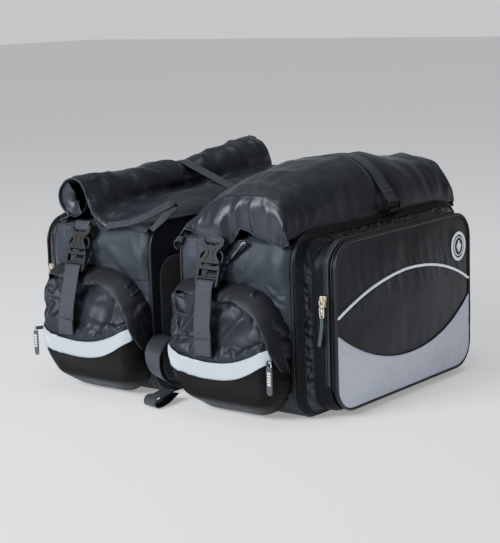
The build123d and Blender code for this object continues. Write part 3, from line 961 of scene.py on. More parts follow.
def add_slider(side):
    """Brass slider, its pull and the ribbon looped through the pull."""
    low, high = box_mm(f"{side}_zip_slider")
    face = low[1]
    outline = [(-4.6, 7.5), (4.6, 7.5), (4.9, 4), (3.2, -2), (3.8, -7.5), (-3.8, -7.5), (-3.2, -2), (-4.9, 4)]
    centre = Vector((ZIP_X, 0, (low[2] + high[2]) / 2))

    def upright(shape, y):
        """Stand a flat shape up so that it faces the front."""
        return [(centre.x + a, y - c, centre.z + b) for a, b, c in shape[0]], shape[1]
    layers = [upright(plate(outline, 0, 1.6), face + 5.2), upright(plate(outline, 0, 1.3), face + 2.6)]
    post = upright(plate([(-1.6, 6.5), (1.6, 6.5), (1.6, 2), (-1.6, 2)], 0, 2), face + 4)
    bail_path = curve([(ZIP_X, face + 1.4, centre.z + 6.5), (ZIP_X, face - 0.8, centre.z + 4.5),
                       (ZIP_X, face - 0.8, centre.z - 1), (ZIP_X, face + 1.4, centre.z - 3.5)])
    bail = sweep(bail_path, disc_section(0.9), (1, 0, 0))
    make_piece(f"{side}_slider", merge(*layers, post, bail), "brass", side, f"{side}_zip_slider",
               [f"{side}_zip_slider"], bevel=0.35)
    pull_low, pull_high = box_mm(f"{side}_zip_pull")
    y = (pull_low[1] + pull_high[1]) / 2
    top = pull_high[2]

    def link(width, z_high, z_low, radius):
        corner = width / 2 * 0.7
        points = [(-width / 2 + corner, z_high), (width / 2 - corner, z_high),
                  (width / 2, z_high - corner), (width / 2 * 0.9, z_low + corner),
                  (width / 2 - corner, z_low), (-width / 2 + corner, z_low),
                  (-width / 2 * 0.9, z_low + corner), (-width / 2, z_high - corner)]
        path = [Vector((ZIP_X + a, y, b)) for a, b in points]
        return tube(resample(path, 1.2, closed=True), radius, (0, 1, 0), closed=True)
    body = f"{side}_zip_pull"
    metal = merge(link(7.5, top, top - 10, 0.9), link(6.5, top - 9, top - 26, 1.0),
                  sweep([(ZIP_X, y, top - 12), (ZIP_X, y, top - 24)], disc_section(1.5, flat=0.6), (1, 0, 0)))
    make_piece(f"{side}_pull_metal", metal, "steel", side, body, [f"{side}_zip_pull"])
    ribbon_path = curve([(ZIP_X, y - 1.2, top - 25), (ZIP_X + 0.5, y - 1.4, top - 36),
                         (ZIP_X - 2, y - 1.0, top - 50), (ZIP_X - 5.5, y - 0.4, pull_low[2])])
    ribbon_back = [p + Vector((0, 1.5, 0)) for p in reversed(ribbon_path)]
    shape = merge(sweep(ribbon_path, strap_section(5.5, 1.0, 3), (1, 0, 0)),
                  sweep(ribbon_back, strap_section(5.5, 1.0, 3), (1, 0, 0)))
    make_piece(f"{side}_pull_ribbon", shape, "ribbon", side, body)


# End pockets: the swollen front is described by flat cloth coordinates (u, v) from its middle

POCKET_WIDE = (END_LOW[0] + 1, END_HIGH[0] - 3.5)
POCKET_TOP = END_HIGH[2] - 18
POCKET_MIDDLE = (sum(POCKET_WIDE) / 2, (END_LOW[2] + POCKET_TOP) / 2 + 1)
ROLL_OVER = 24.0        # width of the rounded border
ROLL_LENGTH = 54.0      # cloth over that border
INNER_HALF = ((POCKET_WIDE[1] - POCKET_WIDE[0]) / 2 - ROLL_OVER,
              (POCKET_TOP - END_LOW[2]) / 2 - ROLL_OVER + 1)
INNER_CORNER = 38.0
FLAT_HALF = (INNER_HALF[0] + ROLL_LENGTH, INNER_HALF[1] + ROLL_LENGTH)
POCKET_COLUMNS = 84
POCKET_DEPTHS = [(3, 20), (30, 38), (72, 49), (112, 48), (145, 40), (168, 32), (190, 27)]
ARCH_FROM = 150.0       # the arch falls away from here to the outer side
ARCH_BASE = 60.0


def arch_drop(x):
    """Share by which heights above the arch's base are lowered at x."""
    return 0.23 * (max(x - ARCH_FROM, 0) / 75) ** 2


def squarer(over_u, over_v, reach, u, v):
    """How much further out the pocket's upper inner corner lies than on a round corner."""
    if u > 0 or v < 0 or reach <= 0:
        return 1.0
    power = 4.5
    return reach / (over_u ** power + over_v ** power) ** (1 / power)


def on_pocket(u, v, lift=0.0):
    """Front end pocket's surface at flat cloth coordinates."""
    flat_u = max(abs(u) - (INNER_HALF[0] - INNER_CORNER), 0)
    flat_v = max(abs(v) - (INNER_HALF[1] - INNER_CORNER), 0)
    reach = math.hypot(flat_u, flat_v)
    over = reach - INNER_CORNER
    x, z, fall = u, v, 1.0
    out = Vector((0, -1, 0))
    if over > 0:
        angle = min(over / ROLL_LENGTH, 1.0) * math.pi / 2
        length = INNER_CORNER + ROLL_OVER * math.sin(angle)
        length *= squarer(flat_u, flat_v, reach, u, v)
        side_u, side_v = flat_u / reach, flat_v / reach
        x = math.copysign(abs(u) - flat_u + side_u * length, u)
        z = math.copysign(abs(v) - flat_v + side_v * length, v)
        fall = math.cos(angle)
        out = Vector((math.copysign(side_u, u) * math.sin(angle), -math.cos(angle),
                      math.copysign(side_v, v) * math.sin(angle)))
    elif reach > 0:
        further = 1 + (squarer(flat_u, flat_v, reach, u, v) - 1) * (reach / INNER_CORNER) ** 2
        x = math.copysign(abs(u) - flat_u + flat_u * further, u)
        z = math.copysign(abs(v) - flat_v + flat_v * further, v)
    height = POCKET_MIDDLE[1] + z
    depth = between(height, POCKET_DEPTHS) * fall
    point = Vector((POCKET_MIDDLE[0] + x, -BODY_HALF - depth, height)) + out * lift
    point.z -= arch_drop(POCKET_MIDDLE[0] + x) * max(point.z - ARCH_BASE, 0)
    point.z = max(point.z, 0.6)
    return point


def flat_of(x, z):
    """Flat cloth coordinates of the pocket's point seen at x and z from the front."""
    if z > ARCH_BASE:
        z = ARCH_BASE + (z - ARCH_BASE) / (1 - arch_drop(x))
    x -= POCKET_MIDDLE[0]
    z -= POCKET_MIDDLE[1]
    over_x = max(abs(x) - (INNER_HALF[0] - INNER_CORNER), 0)
    over_z = max(abs(z) - (INNER_HALF[1] - INNER_CORNER), 0)
    reach = math.hypot(over_x, over_z)
    if reach == 0:
        return x, z
    further = squarer(over_x, over_z, reach, x, z)
    length = reach / further
    if length <= INNER_CORNER:
        flat = reach
        for _ in range(8):
            flat = reach / (1 + (further - 1) * (flat / INNER_CORNER) ** 2)
    else:
        angle = math.asin(min((length - INNER_CORNER) / ROLL_OVER, 1.0))
        flat = INNER_CORNER + angle / (math.pi / 2) * ROLL_LENGTH
    return (math.copysign(abs(x) - over_x + over_x / reach * flat, x),
            math.copysign(abs(z) - over_z + over_z / reach * flat, z))


def is_turned(side, end):
    """All four end pockets are the same piece, so on two ends the long leg is on the inner side."""
    return (side == "right") == (end == "rear")


def facing_out(shape, side, end):
    return mirror_of(shape, POCKET_MIDDLE[0]) if is_turned(side, end) else shape


# Seen from the front: the rain flap's sewn outer edge, its free edge and the strip's middle line
FLAP_SEAM = [(33, 156), (34, 170), (41, 183), (58, 187), (90, 188), (131, 187.5), (158, 186), (180, 180),
             (197, 169), (210, 153), (219, 128), (223, 104), (225, 76)]
FLAP_FREE = [(37, 156), (40, 166), (52, 174), (72, 173), (96, 169), (125, 167), (152, 170), (171, 164),
             (190, 153), (204, 138), (212, 120), (217, 102), (222, 80)]
STRIP_LINE = [(31.5, 102), (38, 88), (60, 78), (95, 72), (130, 71.5), (160, 76), (187, 86), (207, 97),
              (217, 103)]
STRIP_HALF = 12.0


def folds_on_pocket(u, v, seed):
    """Baggy folds between the arch and the strip, and a smoother lower part."""
    strip = between(POCKET_MIDDLE[0] + u, STRIP_LINE) - POCKET_MIDDLE[1]
    above = smoothstep(strip + STRIP_HALF, strip + STRIP_HALF + 22, v)
    edge = smoothstep(0, 26, min(FLAT_HALF[0] - abs(u), FLAT_HALF[1] - abs(v)))
    lean = u * 0.026 - v * 0.011 + 0.5 * ripple(u * 0.012, v * 0.02, seed)
    hanging = ridge(lean, v * 0.006 + seed, 0.3, 2.2) - 0.5
    cross = ridge(u * 0.012 + v * 0.014, v * 0.012 + seed, 0.9, 3.0) - 0.4
    low = ripple(u * 0.02, v * 0.03, seed + 2)
    border = smoothstep(30, 12, FLAT_HALF[0] - u) * smoothstep(0, 6, FLAT_HALF[0] - u)
    gathers = border * 4.0 * (ridge(v * 0.05, u * 0.01, seed + 5, 2.0) - 0.55)
    return gathers + edge * (above * (9.0 * hanging + 4.0 * cross + 2.0) + (1 - above) * 1.2 * low)


UNDER_TAIL = [(70, -261), (135, -261), (160, -256.5), (183, -252), (200, -246)]
UNDER_BUCKLE = [(140, -257), (160, -250), (175, -245), (190, -238), (205, -232)]


def behind_tail(side, x, y, z, limits=UNDER_TAIL):
    """Cloth's y, kept behind the strap end that lies on it and the buckle that slides down over it."""
    middle = STRAP_X[side] + (2 if side == "right" else 5)
    limit = between(z, limits)
    press = smoothstep(30, 19, abs(x - middle))
    return y + max(limit - y, 0) * press


SIM_FRAMES = 20
FARTHEST_MOVE = 10.0    # millimetres
SPARE_CLOTH = 0.07      # share of extra cloth in each direction


def simulate(obj, pins):
    """Let a sewn panel buckle under its own spare cloth, then keep the result."""
    group = obj.vertex_groups.new(name="pin")
    for index, weight in enumerate(pins):
        if weight > 0:
            group.add([index], weight, "REPLACE")
    rest = [v.co.copy() for v in obj.data.vertices]
    cloth = obj.modifiers.new("cloth", "CLOTH")
    settings = cloth.settings
    settings.vertex_group_mass = "pin"
    settings.quality = 5
    settings.mass = 0.15
    settings.tension_stiffness = settings.compression_stiffness = 18
    settings.shear_stiffness = 8
    settings.bending_stiffness = 0.3
    settings.shrink_min = -SPARE_CLOTH
    settings.effector_weights.gravity = 0.5
    cloth.collision_settings.use_collision = False
    scene = bpy.context.scene
    for step in range(1, SIM_FRAMES + 1):
        scene.frame_set(step)
    settled = obj.evaluated_get(bpy.context.evaluated_depsgraph_get())
    moves = [v.co - r for v, r in zip(settled.data.vertices, rest)]
    obj.modifiers.remove(cloth)
    obj.vertex_groups.remove(group)
    for vertex, start, move in zip(obj.data.vertices, rest, moves):
        limit = FARTHEST_MOVE * MM
        if move.length > limit:
            move = move * (limit / move.length)
        vertex.co = start + move
    scene.frame_set(1)


def add_end_pocket(side, end):
    rear = end == "rear"
    bag = f"{side}_bag"
    seed = SEED[side] + (17 if rear else 0)
    pins = []

    def place(u, v):
        strip = between(POCKET_MIDDLE[0] + u, STRIP_LINE) - POCKET_MIDDLE[1]
        point = on_pocket(u, v, folds_on_pocket(u, v, seed))
        seen_x = 2 * POCKET_MIDDLE[0] - point.x if is_turned(side, end) else point.x
        point.y = behind_tail(side, seen_x, point.y, point.z)
        seam = max(abs(u) / FLAT_HALF[0], abs(v) / FLAT_HALF[1])
        loose = smoothstep(0.80, 0.68, seam) * smoothstep(STRIP_HALF, STRIP_HALF + 10, v - strip)
        pins.append(1 - loose)
        return point
    columns = POCKET_COLUMNS
    shape = patch(FLAT_HALF[0], FLAT_HALF[1], INNER_CORNER + ROLL_LENGTH, columns, columns, place)
    shape = facing_out(shape, side, end)
    pocket = make_piece(f"{side}_{end}_pocket", shape, "pocket", side, bag,
                        [f"{side}_end_pockets"], rear=rear)
    # Faces below the strip take the darker fabric: painted shade towards the bottom of the pocket
    pocket.data.materials.append(MATERIALS["low"])
    for face in pocket.data.polygons:
        u = FLAT_HALF[0] * (2 * (face.index % columns + 0.5) / columns - 1)
        v = FLAT_HALF[1] * (2 * (face.index // columns + 0.5) / columns - 1)
        if v < between(POCKET_MIDDLE[0] + u, STRIP_LINE) - POCKET_MIDDLE[1]:
            face.material_index = 1
    simulate(pocket, pins)
    for vertex in pocket.data.vertices:
        x, y, z = (abs(c) / MM for c in vertex.co)
        vertex.co.y = math.copysign(behind_tail(side, x, -y, z) * MM, vertex.co.y)
    add_thickness(pocket, 1.2)
    add_smoothing(pocket, 1)
    add_flap(side, end, seed)
    add_strip(side, end, seed)
    add_tag(side, end)


def add_flap(side, end, seed):
    """Rain flap over the arched zip: a sewn outer edge, a free hemmed edge and a long outer leg."""
    rear = end == "rear"
    bag = f"{side}_bag"
    along, across = 110, 8
    edges = []
    for line in (FLAP_SEAM, FLAP_FREE):
        path = resample(curve([(x, 0, z) for x, z in line], 10), 3)
        picked = [path[round(i * (len(path) - 1) / along)] for i in range(along + 1)]
        edges.append([flat_of(p.x, p.z) for p in picked])

    def at(t, w, extra=0.0):
        k = min(int(t * along), along - 1)
        f = t * along - k
        ends = [[a + (b - a) * f for a, b in zip(edge[k], edge[k + 1])] for edge in edges]
        u, v = (a + (b - a) * w for a, b in zip(*ends))
        wave = 1.5 * ripple(t * 8, w * 0.8, seed) + 0.6 * ripple(t * 26, w, seed)
        rise = (3.6 + 5.5 * max(w, 0) ** 1.3 + wave * (0.4 + w)) * smoothstep(0, 0.1, t) - 1
        point = on_pocket(u, v, rise + extra)
        seen_x = 2 * POCKET_MIDDLE[0] - point.x if is_turned(side, end) else point.x
        point.y = behind_tail(side, seen_x, point.y, point.z, UNDER_BUCKLE) - max(extra, 0)
        return point
    loops = [[at(i / along, j / across) for i in range(along + 1)] for j in range(across + 1)]
    sheet = shell_of(loft(loops, closed=False, caps=False), 1.3)
    flap = make_piece(f"{side}_{end}_flap", facing_out(sheet, side, end), "flap", side, bag,
                      [f"{side}_end_flaps"], rear=rear, subdivide=1)
    rows_of_thread = []
    for w in (0.12, 0.3, 0.82):
        line = [at(t, w, 0.35) for t in frange(0.01, 0.99, 0.012)]
        rows_of_thread.append(stitches(line, lambda p: (0, -1, 0.3), radius=0.3))
    stitching = make_piece(f"{side}_{end}_flap_stitching", facing_out(merge(*rows_of_thread), side, end),
                           "thread", side, bag, rear=rear)
    seam = [at(t, -0.04, -1.0) for t in frange(0, 1, 0.012)]
    hem = [at(t, 1.0, -0.3) for t in frange(0, 1, 0.012)]
    edges = facing_out(merge(tube(seam, 2.1), tube(hem, 1.3)), side, end)
    bound = make_piece(f"{side}_{end}_flap_seam", edges, "piping", side, bag, rear=rear)


def add_strip(side, end, seed):
    """Curved reflective tape with bound edges and a few creases."""
    rear = end == "rear"
    bag = f"{side}_bag"
    line = resample(curve([(x, 0, z) for x, z in STRIP_LINE], 10), 2)
    flats = [flat_of(p.x, p.z) for p in line]
    last = len(flats) - 1

    def at(k, w, lift):
        crest = ridge(k * 0.075 + w * 0.45, w * 0.2 + seed, 0, 5)
        crumple = 4.6 * (crest - 0.2) * smoothstep(0.62, 0.1, k / last)
        crumple -= 2.2 * max(ripple(k * 0.16 - w * 0.7, seed + 4) - 0.15, 0) * smoothstep(0.5, 0.15, k / last)
        u, v = flats[k]
        return on_pocket(u, v + w * STRIP_HALF, lift + crumple)
    loops = [[at(k, w, 2.2) for k in range(last + 1)] for w in frange(-1, 1, 0.25)]
    sheet = shell_of(loft(loops, closed=False, caps=False), 0.9)
    make_piece(f"{side}_{end}_strip", facing_out(sheet, side, end), "tape", side, bag,
               [f"{side}_reflective_strips"], rear=rear)
    edges = []
    threads = []
    for w in (-1, 1):
        edges.append(tube([at(k, w * 1.03, 1.6) for k in range(last + 1)], 0.9))
        threads.append(stitches([at(k, w * 0.86, 2.4) for k in range(2, last - 1)], lambda p: (0, -1, 0),
                                radius=0.25))
    make_piece(f"{side}_{end}_strip_binding", facing_out(merge(*edges), side, end), "shell", side, bag,
               rear=rear)
    make_piece(f"{side}_{end}_strip_stitching", facing_out(merge(*threads), side, end), "grey_thread", side,
               bag, rear=rear)


def add_tag(side, end):
    """Zip slider's moulded pull at the outer end of the flap."""
    rear = end == "rear"
    low, high = box_mm(f"{side}_front_tag")
    x = (abs(low[0]) + abs(high[0])) / 2 + 5
    y = low[1] + 0.4
    top = high[2] - 2
    outline = [(-4.5, 0), (4.5, 0), (5, -8), (4.6, -36), (2.5, -39), (-2.5, -39), (-4.6, -36), (-5, -8)]

    def stand(shape, out, z):
        """Stand a flat shape up, facing the front."""
        return flipped(([(x + a, y - c - out, z + b) for a, b, c in shape[0]], shape[1]))
    body = f"{side}_{end}_tag"
    make_piece(f"{side}_{end}_pull_tag", stand(plate(outline, 0, 2.2), 0, top - 4), "rubber", side, body,
               [f"{side}_{end}_tag"], rear=rear, bevel=0.6)
    ribs = [stand(bar((-2.4, -1.1, 0), (2.4, 1.1, 0.7)), 2.0, top - 12 - 4 * step) for step in range(5)]
    make_piece(f"{side}_{end}_pull_grip", merge(*ribs), "print", side, body, rear=rear, bevel=0.25)
    ring = [Vector((x + 3 * math.cos(a), y - 0.6, top - 1 + 4 * math.sin(a)))
            for a in frange(0, 2 * math.pi, 0.4)]
    eye = tube(resample(ring[:-1], 1.2, closed=True), 0.8, (0, 1, 0), closed=True)
    make_piece(f"{side}_{end}_pull_eye", eye, "steel", side, body, rear=rear)
    middle = 2 * POCKET_MIDDLE[0]
    seen_x = middle - x + 9 if is_turned(side, end) else x - 9
    root = on_pocket(*flat_of(seen_x, top), -1.5)
    if is_turned(side, end):
        root.x = middle - root.x
    tab = [root, Vector((x - 2.5, y + 3, top)), Vector((x - 0.6, y - 0.6, top)),
           Vector((x - 2.4, y - 3, top)), Vector((x - 5.5, y, top)), root + Vector((-2.5, 0, 0))]
    ribbon = sweep(resample(curve(tab, 8), 1.5), strap_section(5.4, 1.1), (0, 0, 1))
    make_piece(f"{side}_{end}_zip_tab", ribbon, "webbing", side, f"{side}_bag", rear=rear)


# Buckles

def buckle_place(side):
    """Frame of the front buckle: x across the strap, y up it, z outwards."""
    tilt = math.radians(20)
    x_axis = Vector((1, 0, 0))
    z_axis = Vector((0, -math.cos(tilt), math.sin(tilt)))
    y_axis = z_axis.cross(x_axis)
    rotation = Matrix((x_axis, y_axis, z_axis)).transposed().to_4x4()
    return Matrix.Translation((STRAP_X[side], -BODY_HALF - 14, 250)) @ rotation


def mirrored(outline):
    """Outline and its mirror image across the strap's middle line."""
    return outline + [(-a, b) for a, b in reversed(outline)]


def buckle_female():
    """Waisted socket with side windows, a slot for the webbing and a raised rib."""
    half = [(9.5, -34), (17.5, -34), (18.5, -31.5), (15.5, -28), (11.5, -23.5), (10.5, -20), (11.5, -16.5),
            (16, -11.5), (19.8, -8), (20, 0.5), (18, 2.5), (14.5, 2.5), (14.5, -4.5), (9, -8.5)]
    outline = mirrored(half)
    front = plate(outline, 1.7, 5.2)
    back = plate(outline, -5.2, -1.7)
    spine = bar((-6, -31, -2), (6, -10, 2))
    rails = [bar((a - 2.0, -8, -5), (a + 2.0, 2.2, 5)) for a in (-17.6, 17.6)]
    slot_bar = sweep([(-18, 0.6, 0), (18, 0.6, 0)], disc_section(1.9), (0, 1, 0))
    rib = sweep(curve([(-8, -31, 5.4), (-4.5, -24, 5.6), (-4.0, -19, 5.6), (-7.5, -12, 5.4)], 6),
                disc_section(0.7), (1, 0, 0))
    return merge(front, back, spine, *rails, slot_bar, rib, mirror_of(rib))


def buckle_male():
    """Two bowed prongs, a guide and the ladder that grips the webbing."""
    parts = []
    prong = curve([(14.5, -35, 0), (19.5, -30.5, 0), (20.6, -25, 0), (18.6, -19.5, 0), (14.5, -15.5, 0),
                   (12.5, -16.5, 0)], 6)
    flat = [(-1.1, -2.4), (1.1, -2.4), (1.4, -1.6), (1.4, 1.6),
            (1.1, 2.4), (-1.1, 2.4), (-1.4, 1.6), (-1.4, -1.6)]
    arm = sweep(prong, [(b, a) for a, b in flat], (0, 0, 1))
    parts.append(arm)
    parts.append(mirror_of(arm))
    parts.append(plate(mirrored([(8.5, -38.5), (18, -36), (20, -38.5), (19.8, -43), (16, -43)]), -4.4, 4.4))
    for a in (-18.2, 18.2):
        parts.append(bar((a - 1.8, -65, -3.2), (a + 1.8, -42, 3.2)))
    for b, radius in ((-64.6, 2.3), (-54.6, 2.5)):
        parts.append(sweep([(-18.5, b, 0.4), (18.5, b, 0.4)], disc_section(radius, 14), (0, 1, 0)))
    return merge(*parts)


def add_buckle(side, end):
    rear = end == "rear"
    place = buckle_place(side)
    bag = f"{side}_bag"
    make_piece(f"{side}_{end}_buckle_socket", moved(buckle_female(), place), "plastic", side, bag,
               [f"{side}_buckle_females"], rear=rear, bevel=0.7)
    body = f"{side}_{end}_buckle"
    make_piece(f"{side}_{end}_buckle_plug", moved(buckle_male(), place), "plastic", side, body,
               [f"{side}_{end}_buckle_male"], rear=rear, bevel=0.6)

    across = place.to_3x3() @ Vector((1, 0, 0))

    def local(points):
        return [place @ Vector((0, a, b)) for a, b in points]
    tab = curve(local([(9, 1.0), (4, 3.2), (-2.5, 3.0), (-5.0, 0), (-2.5, -3.0), (4, -3.2), (9, -0.8)]), 6)
    make_piece(f"{side}_{end}_buckle_tab", sweep(tab, strap_section(WEBBING, 1.5), across), "webbing", side,
               bag, [f"{side}_buckle_webbing"], rear=rear)
    anchor = curve([(0, -BODY_HALF - 4.5, 216), (0, -BODY_HALF - 16, 205), (0, -BODY_HALF - 29, 189)], 6)
    anchor = [Vector((STRAP_X[side], p.y, p.z)) for p in anchor]
    make_piece(f"{side}_{end}_anchor", sweep(anchor, strap_section(WEBBING, 1.5), (1, 0, 0)), "webbing", side,
               bag, rear=rear)
    add_tail(side, end, place)


def add_tail(side, end, place):
    """Free strap end through the ladder and down over the pocket, with a doubled hem."""
    rear = end == "rear"
    body = f"{side}_{end}_buckle"
    low, _ = box_mm(f"{side}_front_strap_tail")
    face = -BODY_HALF - 51.5
    x = STRAP_X[side]
    drift = 3.0 if side == "right" else 8.0
    through = [(-66.5, -4.6), (-60, -4.4), (-58.5, 0.6), (-59, 4.2), (-66, 5.6), (-73, 5.0)]
    head = [place @ Vector((0, a, b)) for a, b in through]
    head = [Vector((x, p.y, p.z)) for p in head]
    fall = [(x + drift * 0.3, face + 3.5, 160), (x + drift * 0.6, face - 1.0, 135),
            (x + drift, face - 0.5, 112), (x + drift, face - 0.3, low[2])]
    path = resample(curve(head + [Vector(p) for p in fall], 8), 3)
    strap = sweep(path, strap_section(WEBBING, 1.5, 8), (1, 0, 0))
    hem = [p + Vector((0, -1.5, 0)) for p in path[-9:]]
    hem_fold = sweep(hem, strap_section(WEBBING - 0.3, 1.5, 8), (1, 0, 0))
    make_piece(f"{side}_{end}_tail", merge(strap, hem_fold), "webbing", side, body,
               [f"{side}_{end}_strap_tail"], rear=rear)
    rows_of_thread = []
    for drop in (3.0, 22.0):
        z = low[2] + drop
        rows_of_thread.append(stitches([(x + drift + a, face - 2.8, z) for a in (-13, 0, 13)],
                                       lambda p: (0, -1, 0), pitch=3.2, length=2.4, radius=0.35))
    make_piece(f"{side}_{end}_tail_stitching", merge(*rows_of_thread), "thread", side, body, rear=rear)


# Roll tops: a cross-section in x and z at the middle and at the ends, blended along y

def roll_section(slope, centre, radius, first, last, foot=(228, 257)):
    """Inner slope of the far bag's collar, then round the outside of its roll."""
    arc = [(centre[0] + radius * math.cos(math.radians(a)), centre[1] + radius * math.sin(math.radians(a)))
           for a in frange(first, last, -26)]
    return slope + arc + [foot]


ROLL_MOUTH = (181.0, 291.0)
ROLL_RADIUS = 29.0
CAP_MIDDLE = {
    "right": [(32, 256), (33, 284), (45, 311), (66, 330), (95, 342), (125, 347), (150, 348), (178, 341),
              (203, 324), (218, 300), (225, 275), (226, 257)],
    "left": roll_section([(32, 256), (42, 268), (60, 281), (84, 290), (108, 290), (127, 284), (139, 280)],
                         (178, 291), 33, 190, -60),
}
CAP_FRONT = {
    "right": [(32, 252), (41, 262), (57, 276), (72, 287), (93, 300), (113, 309), (137, 313), (163, 314),
              (189, 313), (208, 305), (221, 286), (226, 257)],
    "left": roll_section([(32, 253), (60, 257), (90, 256), (113, 252), (122, 257), (132, 268), (142, 284),
                          (154, 303)],
                         ROLL_MOUTH, ROLL_RADIUS, 118, -70, foot=(210, 255)),
}
CAP_REAR = {
    "right": [(32, 254), (38, 272), (52, 290), (70, 304), (94, 316), (118, 324), (142, 327), (168, 325),
              (194, 318), (212, 303), (223, 282), (226, 257)],
    "left": roll_section([(32, 254), (45, 268), (66, 284), (90, 295), (110, 298), (124, 295)],
                         (166, 308), 34, 190, -50),
}
HOOD_RIM = {
    "right": [(31, 250), (41, 259), (70, 256), (92, 251), (106, 248), (117, 240), (130, 247), (139, 257),
              (145, 268), (153, 266), (166, 262), (182, 256), (200, 250), (216, 247), (226, 250)],
    "left": [(31, 249), (60, 252), (92, 251), (114, 246), (124, 248), (132, 255), (139, 266), (145, 278),
             (151, 290), (156, 303), (160, 318), (164, 400)],
}
FRONT_WEIGHT = [(-212, 1.0), (-165, 0.62), (-121, 0.34), (-36, 0.08), (46, 0.0)]
REAR_WEIGHT = [(20, 0.0), (80, 0.25), (120, 0.6), (165, 0.9), (212, 1.0)]
CAP_COLUMNS = 96
HOOD_FRONT = BODY_HALF + 4


def even(points, count):
    """The same number of points an even distance apart on any cross-section."""
    path = curve([(x, 0, z) for x, z in points], 10)
    lengths = [0.0]
    for a, b in zip(path, path[1:]):
        lengths.append(lengths[-1] + (b - a).length)
    out = []
    k = 0
    for i in range(count + 1):
        want = lengths[-1] * i / count
        while k < len(path) - 2 and lengths[k + 1] < want:
            k += 1
        out.append(path[k].lerp(path[k + 1], (want - lengths[k]) / (lengths[k + 1] - lengths[k])))
    return out


def cap_skin(side):
    """Collar over the mouth, with a hood hanging over each end wall."""
    seed = SEED[side]
    middle = even(CAP_MIDDLE[side], CAP_COLUMNS)
    front_end = even(CAP_FRONT[side], CAP_COLUMNS)
    rear_end = even(CAP_REAR[side], CAP_COLUMNS)
    rows = []
    drape = 16

    def top_row(y):
        ending = front_end if y < 0 else rear_end
        weight = between(y, FRONT_WEIGHT if y < 0 else REAR_WEIGHT)
        line = [a.lerp(b, weight) for a, b in zip(middle, ending)]
        row = []
        for i, p in enumerate(line):
            along = line[min(i + 1, CAP_COLUMNS)] - line[max(i - 1, 0)]
            normal = Vector((-along.z, 0, along.x)).normalized()
            held = smoothstep(0, 0.08, i / CAP_COLUMNS) * smoothstep(1, 0.92, i / CAP_COLUMNS)
            near_end = smoothstep(120, 200, abs(y))
            soft = 2.4 * ripple(p.x * 0.02, y * 0.012, seed) + 2.6 * (ridge(
                p.x * 0.012 + y * 0.006, y * 0.008 + p.z * 0.006, seed + 3, 5) - 0.3)
            creases = near_end * 3.4 * (ridge(p.x * 0.035, y * 0.035, seed + 5, 3) - 0.45)
            tight = 1.1 * ripple(p.x * 0.06, y * 0.05, seed + 8)
            pressed = smoothstep(36, 8, abs(y - TOP_STRAP_Y - 4))
            soft = soft * (1 - pressed) - 4.5 * pressed
            if side == "left":
                rolled = smoothstep(125, 150, p.x) * smoothstep(-215, -195, y)
                creases += rolled * 5.5 * (ridge(i * 0.045 + y * 0.004, y * 0.021, seed + 6, 3) - 0.45)
            shift = normal * (held * (soft + (creases + tight) * (1 - pressed)))
            row.append(Vector((p.x + shift.x, y, p.z + shift.z)))
        return row

    def hood_row(edge, sign, t):
        row = []
        for p in edge:
            rim = between(p.x, HOOD_RIM[side])
            fall = max(p.z - rim, 0.5)
            loose = smoothstep(0, 22, fall)
            fold = 6.0 * (ridge(p.x * 0.036 + t * 0.25, t * 0.35, seed + sign, 3.0) - 0.4)
            fold += 2.6 * ripple(p.x * 0.07, t * 0.6, seed + 2)
            belly = 7.0 * math.sin(math.pi * min(t * 1.15, 1)) * 0.5 + 3.5 * smoothstep(0, 0.25, t)
            covers_tab = 13 * smoothstep(56, 88, p.x) * smoothstep(132, 116, p.x) * smoothstep(0.05, 0.8, t)
            out = (belly + fold * smoothstep(0, 0.5, t)) * loose + (covers_tab if side == "right" else 0)
            y = max(HOOD_FRONT - 4 + out, BODY_HALF + 1.5)
            row.append(Vector((p.x, sign * y, p.z - fall * t)))
        return row
    front = top_row(-HOOD_FRONT + 4)
    back = top_row(HOOD_FRONT - 4)
    for j in range(drape):
        rows.append(hood_row(front, -1, 1 - j / drape))
    rows.append(front)
    rows.extend(top_row(y) for y in frange(-HOOD_FRONT + 9, HOOD_FRONT - 9, 5))
    rows.append(back)
    for j in range(drape):
        rows.append(hood_row(back, 1, (j + 1) / drape))
    return loft(rows, closed=False, caps=False), rows


def add_roll_top(side):
    bag = f"{side}_bag"
    shape, rows = cap_skin(side)
    add_top_straps(side, rows)
    cap = make_piece(f"{side}_roll_cap", shape, "roll", side, bag, [f"{side}_roll_top"])
    add_smoothing(cap, 1)
    add_thickness(cap, 1.6)
    hems = []
    threads = []
    for row, inner, sign in ((rows[0], rows[2], -1), (rows[-1], rows[-3], 1)):
        hems.append(tube([p + Vector((0, sign * 0.2, 0)) for p in row], 1.5, (0, 1, 0)))
        threads.append(stitches([p + Vector((0, sign * 0.5, 0)) for p in inner[4:-4]],
                                lambda p, s=sign: (0, s, 0), radius=0.3))
    on_cap = [make_piece(f"{side}_hood_hem", merge(*hems), "shell", side, bag),
              make_piece(f"{side}_hood_stitching", merge(*threads), "thread", side, bag)]
    if side == "left":
        on_cap += add_roll(side)
    if side == "right":
        binding = curve([(157, -219, 249), (150, -222, 245), (142, -224, 236), (134, -224, 227),
                         (123, -220, 217)])
        make_piece("right_collar_binding", tube(binding, 3.4, (1, 0, 0)), "lacquer", side, bag)


# Inside of the roll, from the opening inward: depth, share of the radius, how far it has turned
ROLL_TURNS = [(-1.5, 1.0, 0), (0, 0.95, 0), (6, 0.86, 0.04), (14, 0.76, 0.1), (26, 0.66, 0.2), (45, 0.6, 0.3),
              (80, 0.55, 0.4)]
ROLL_FACETS = 72


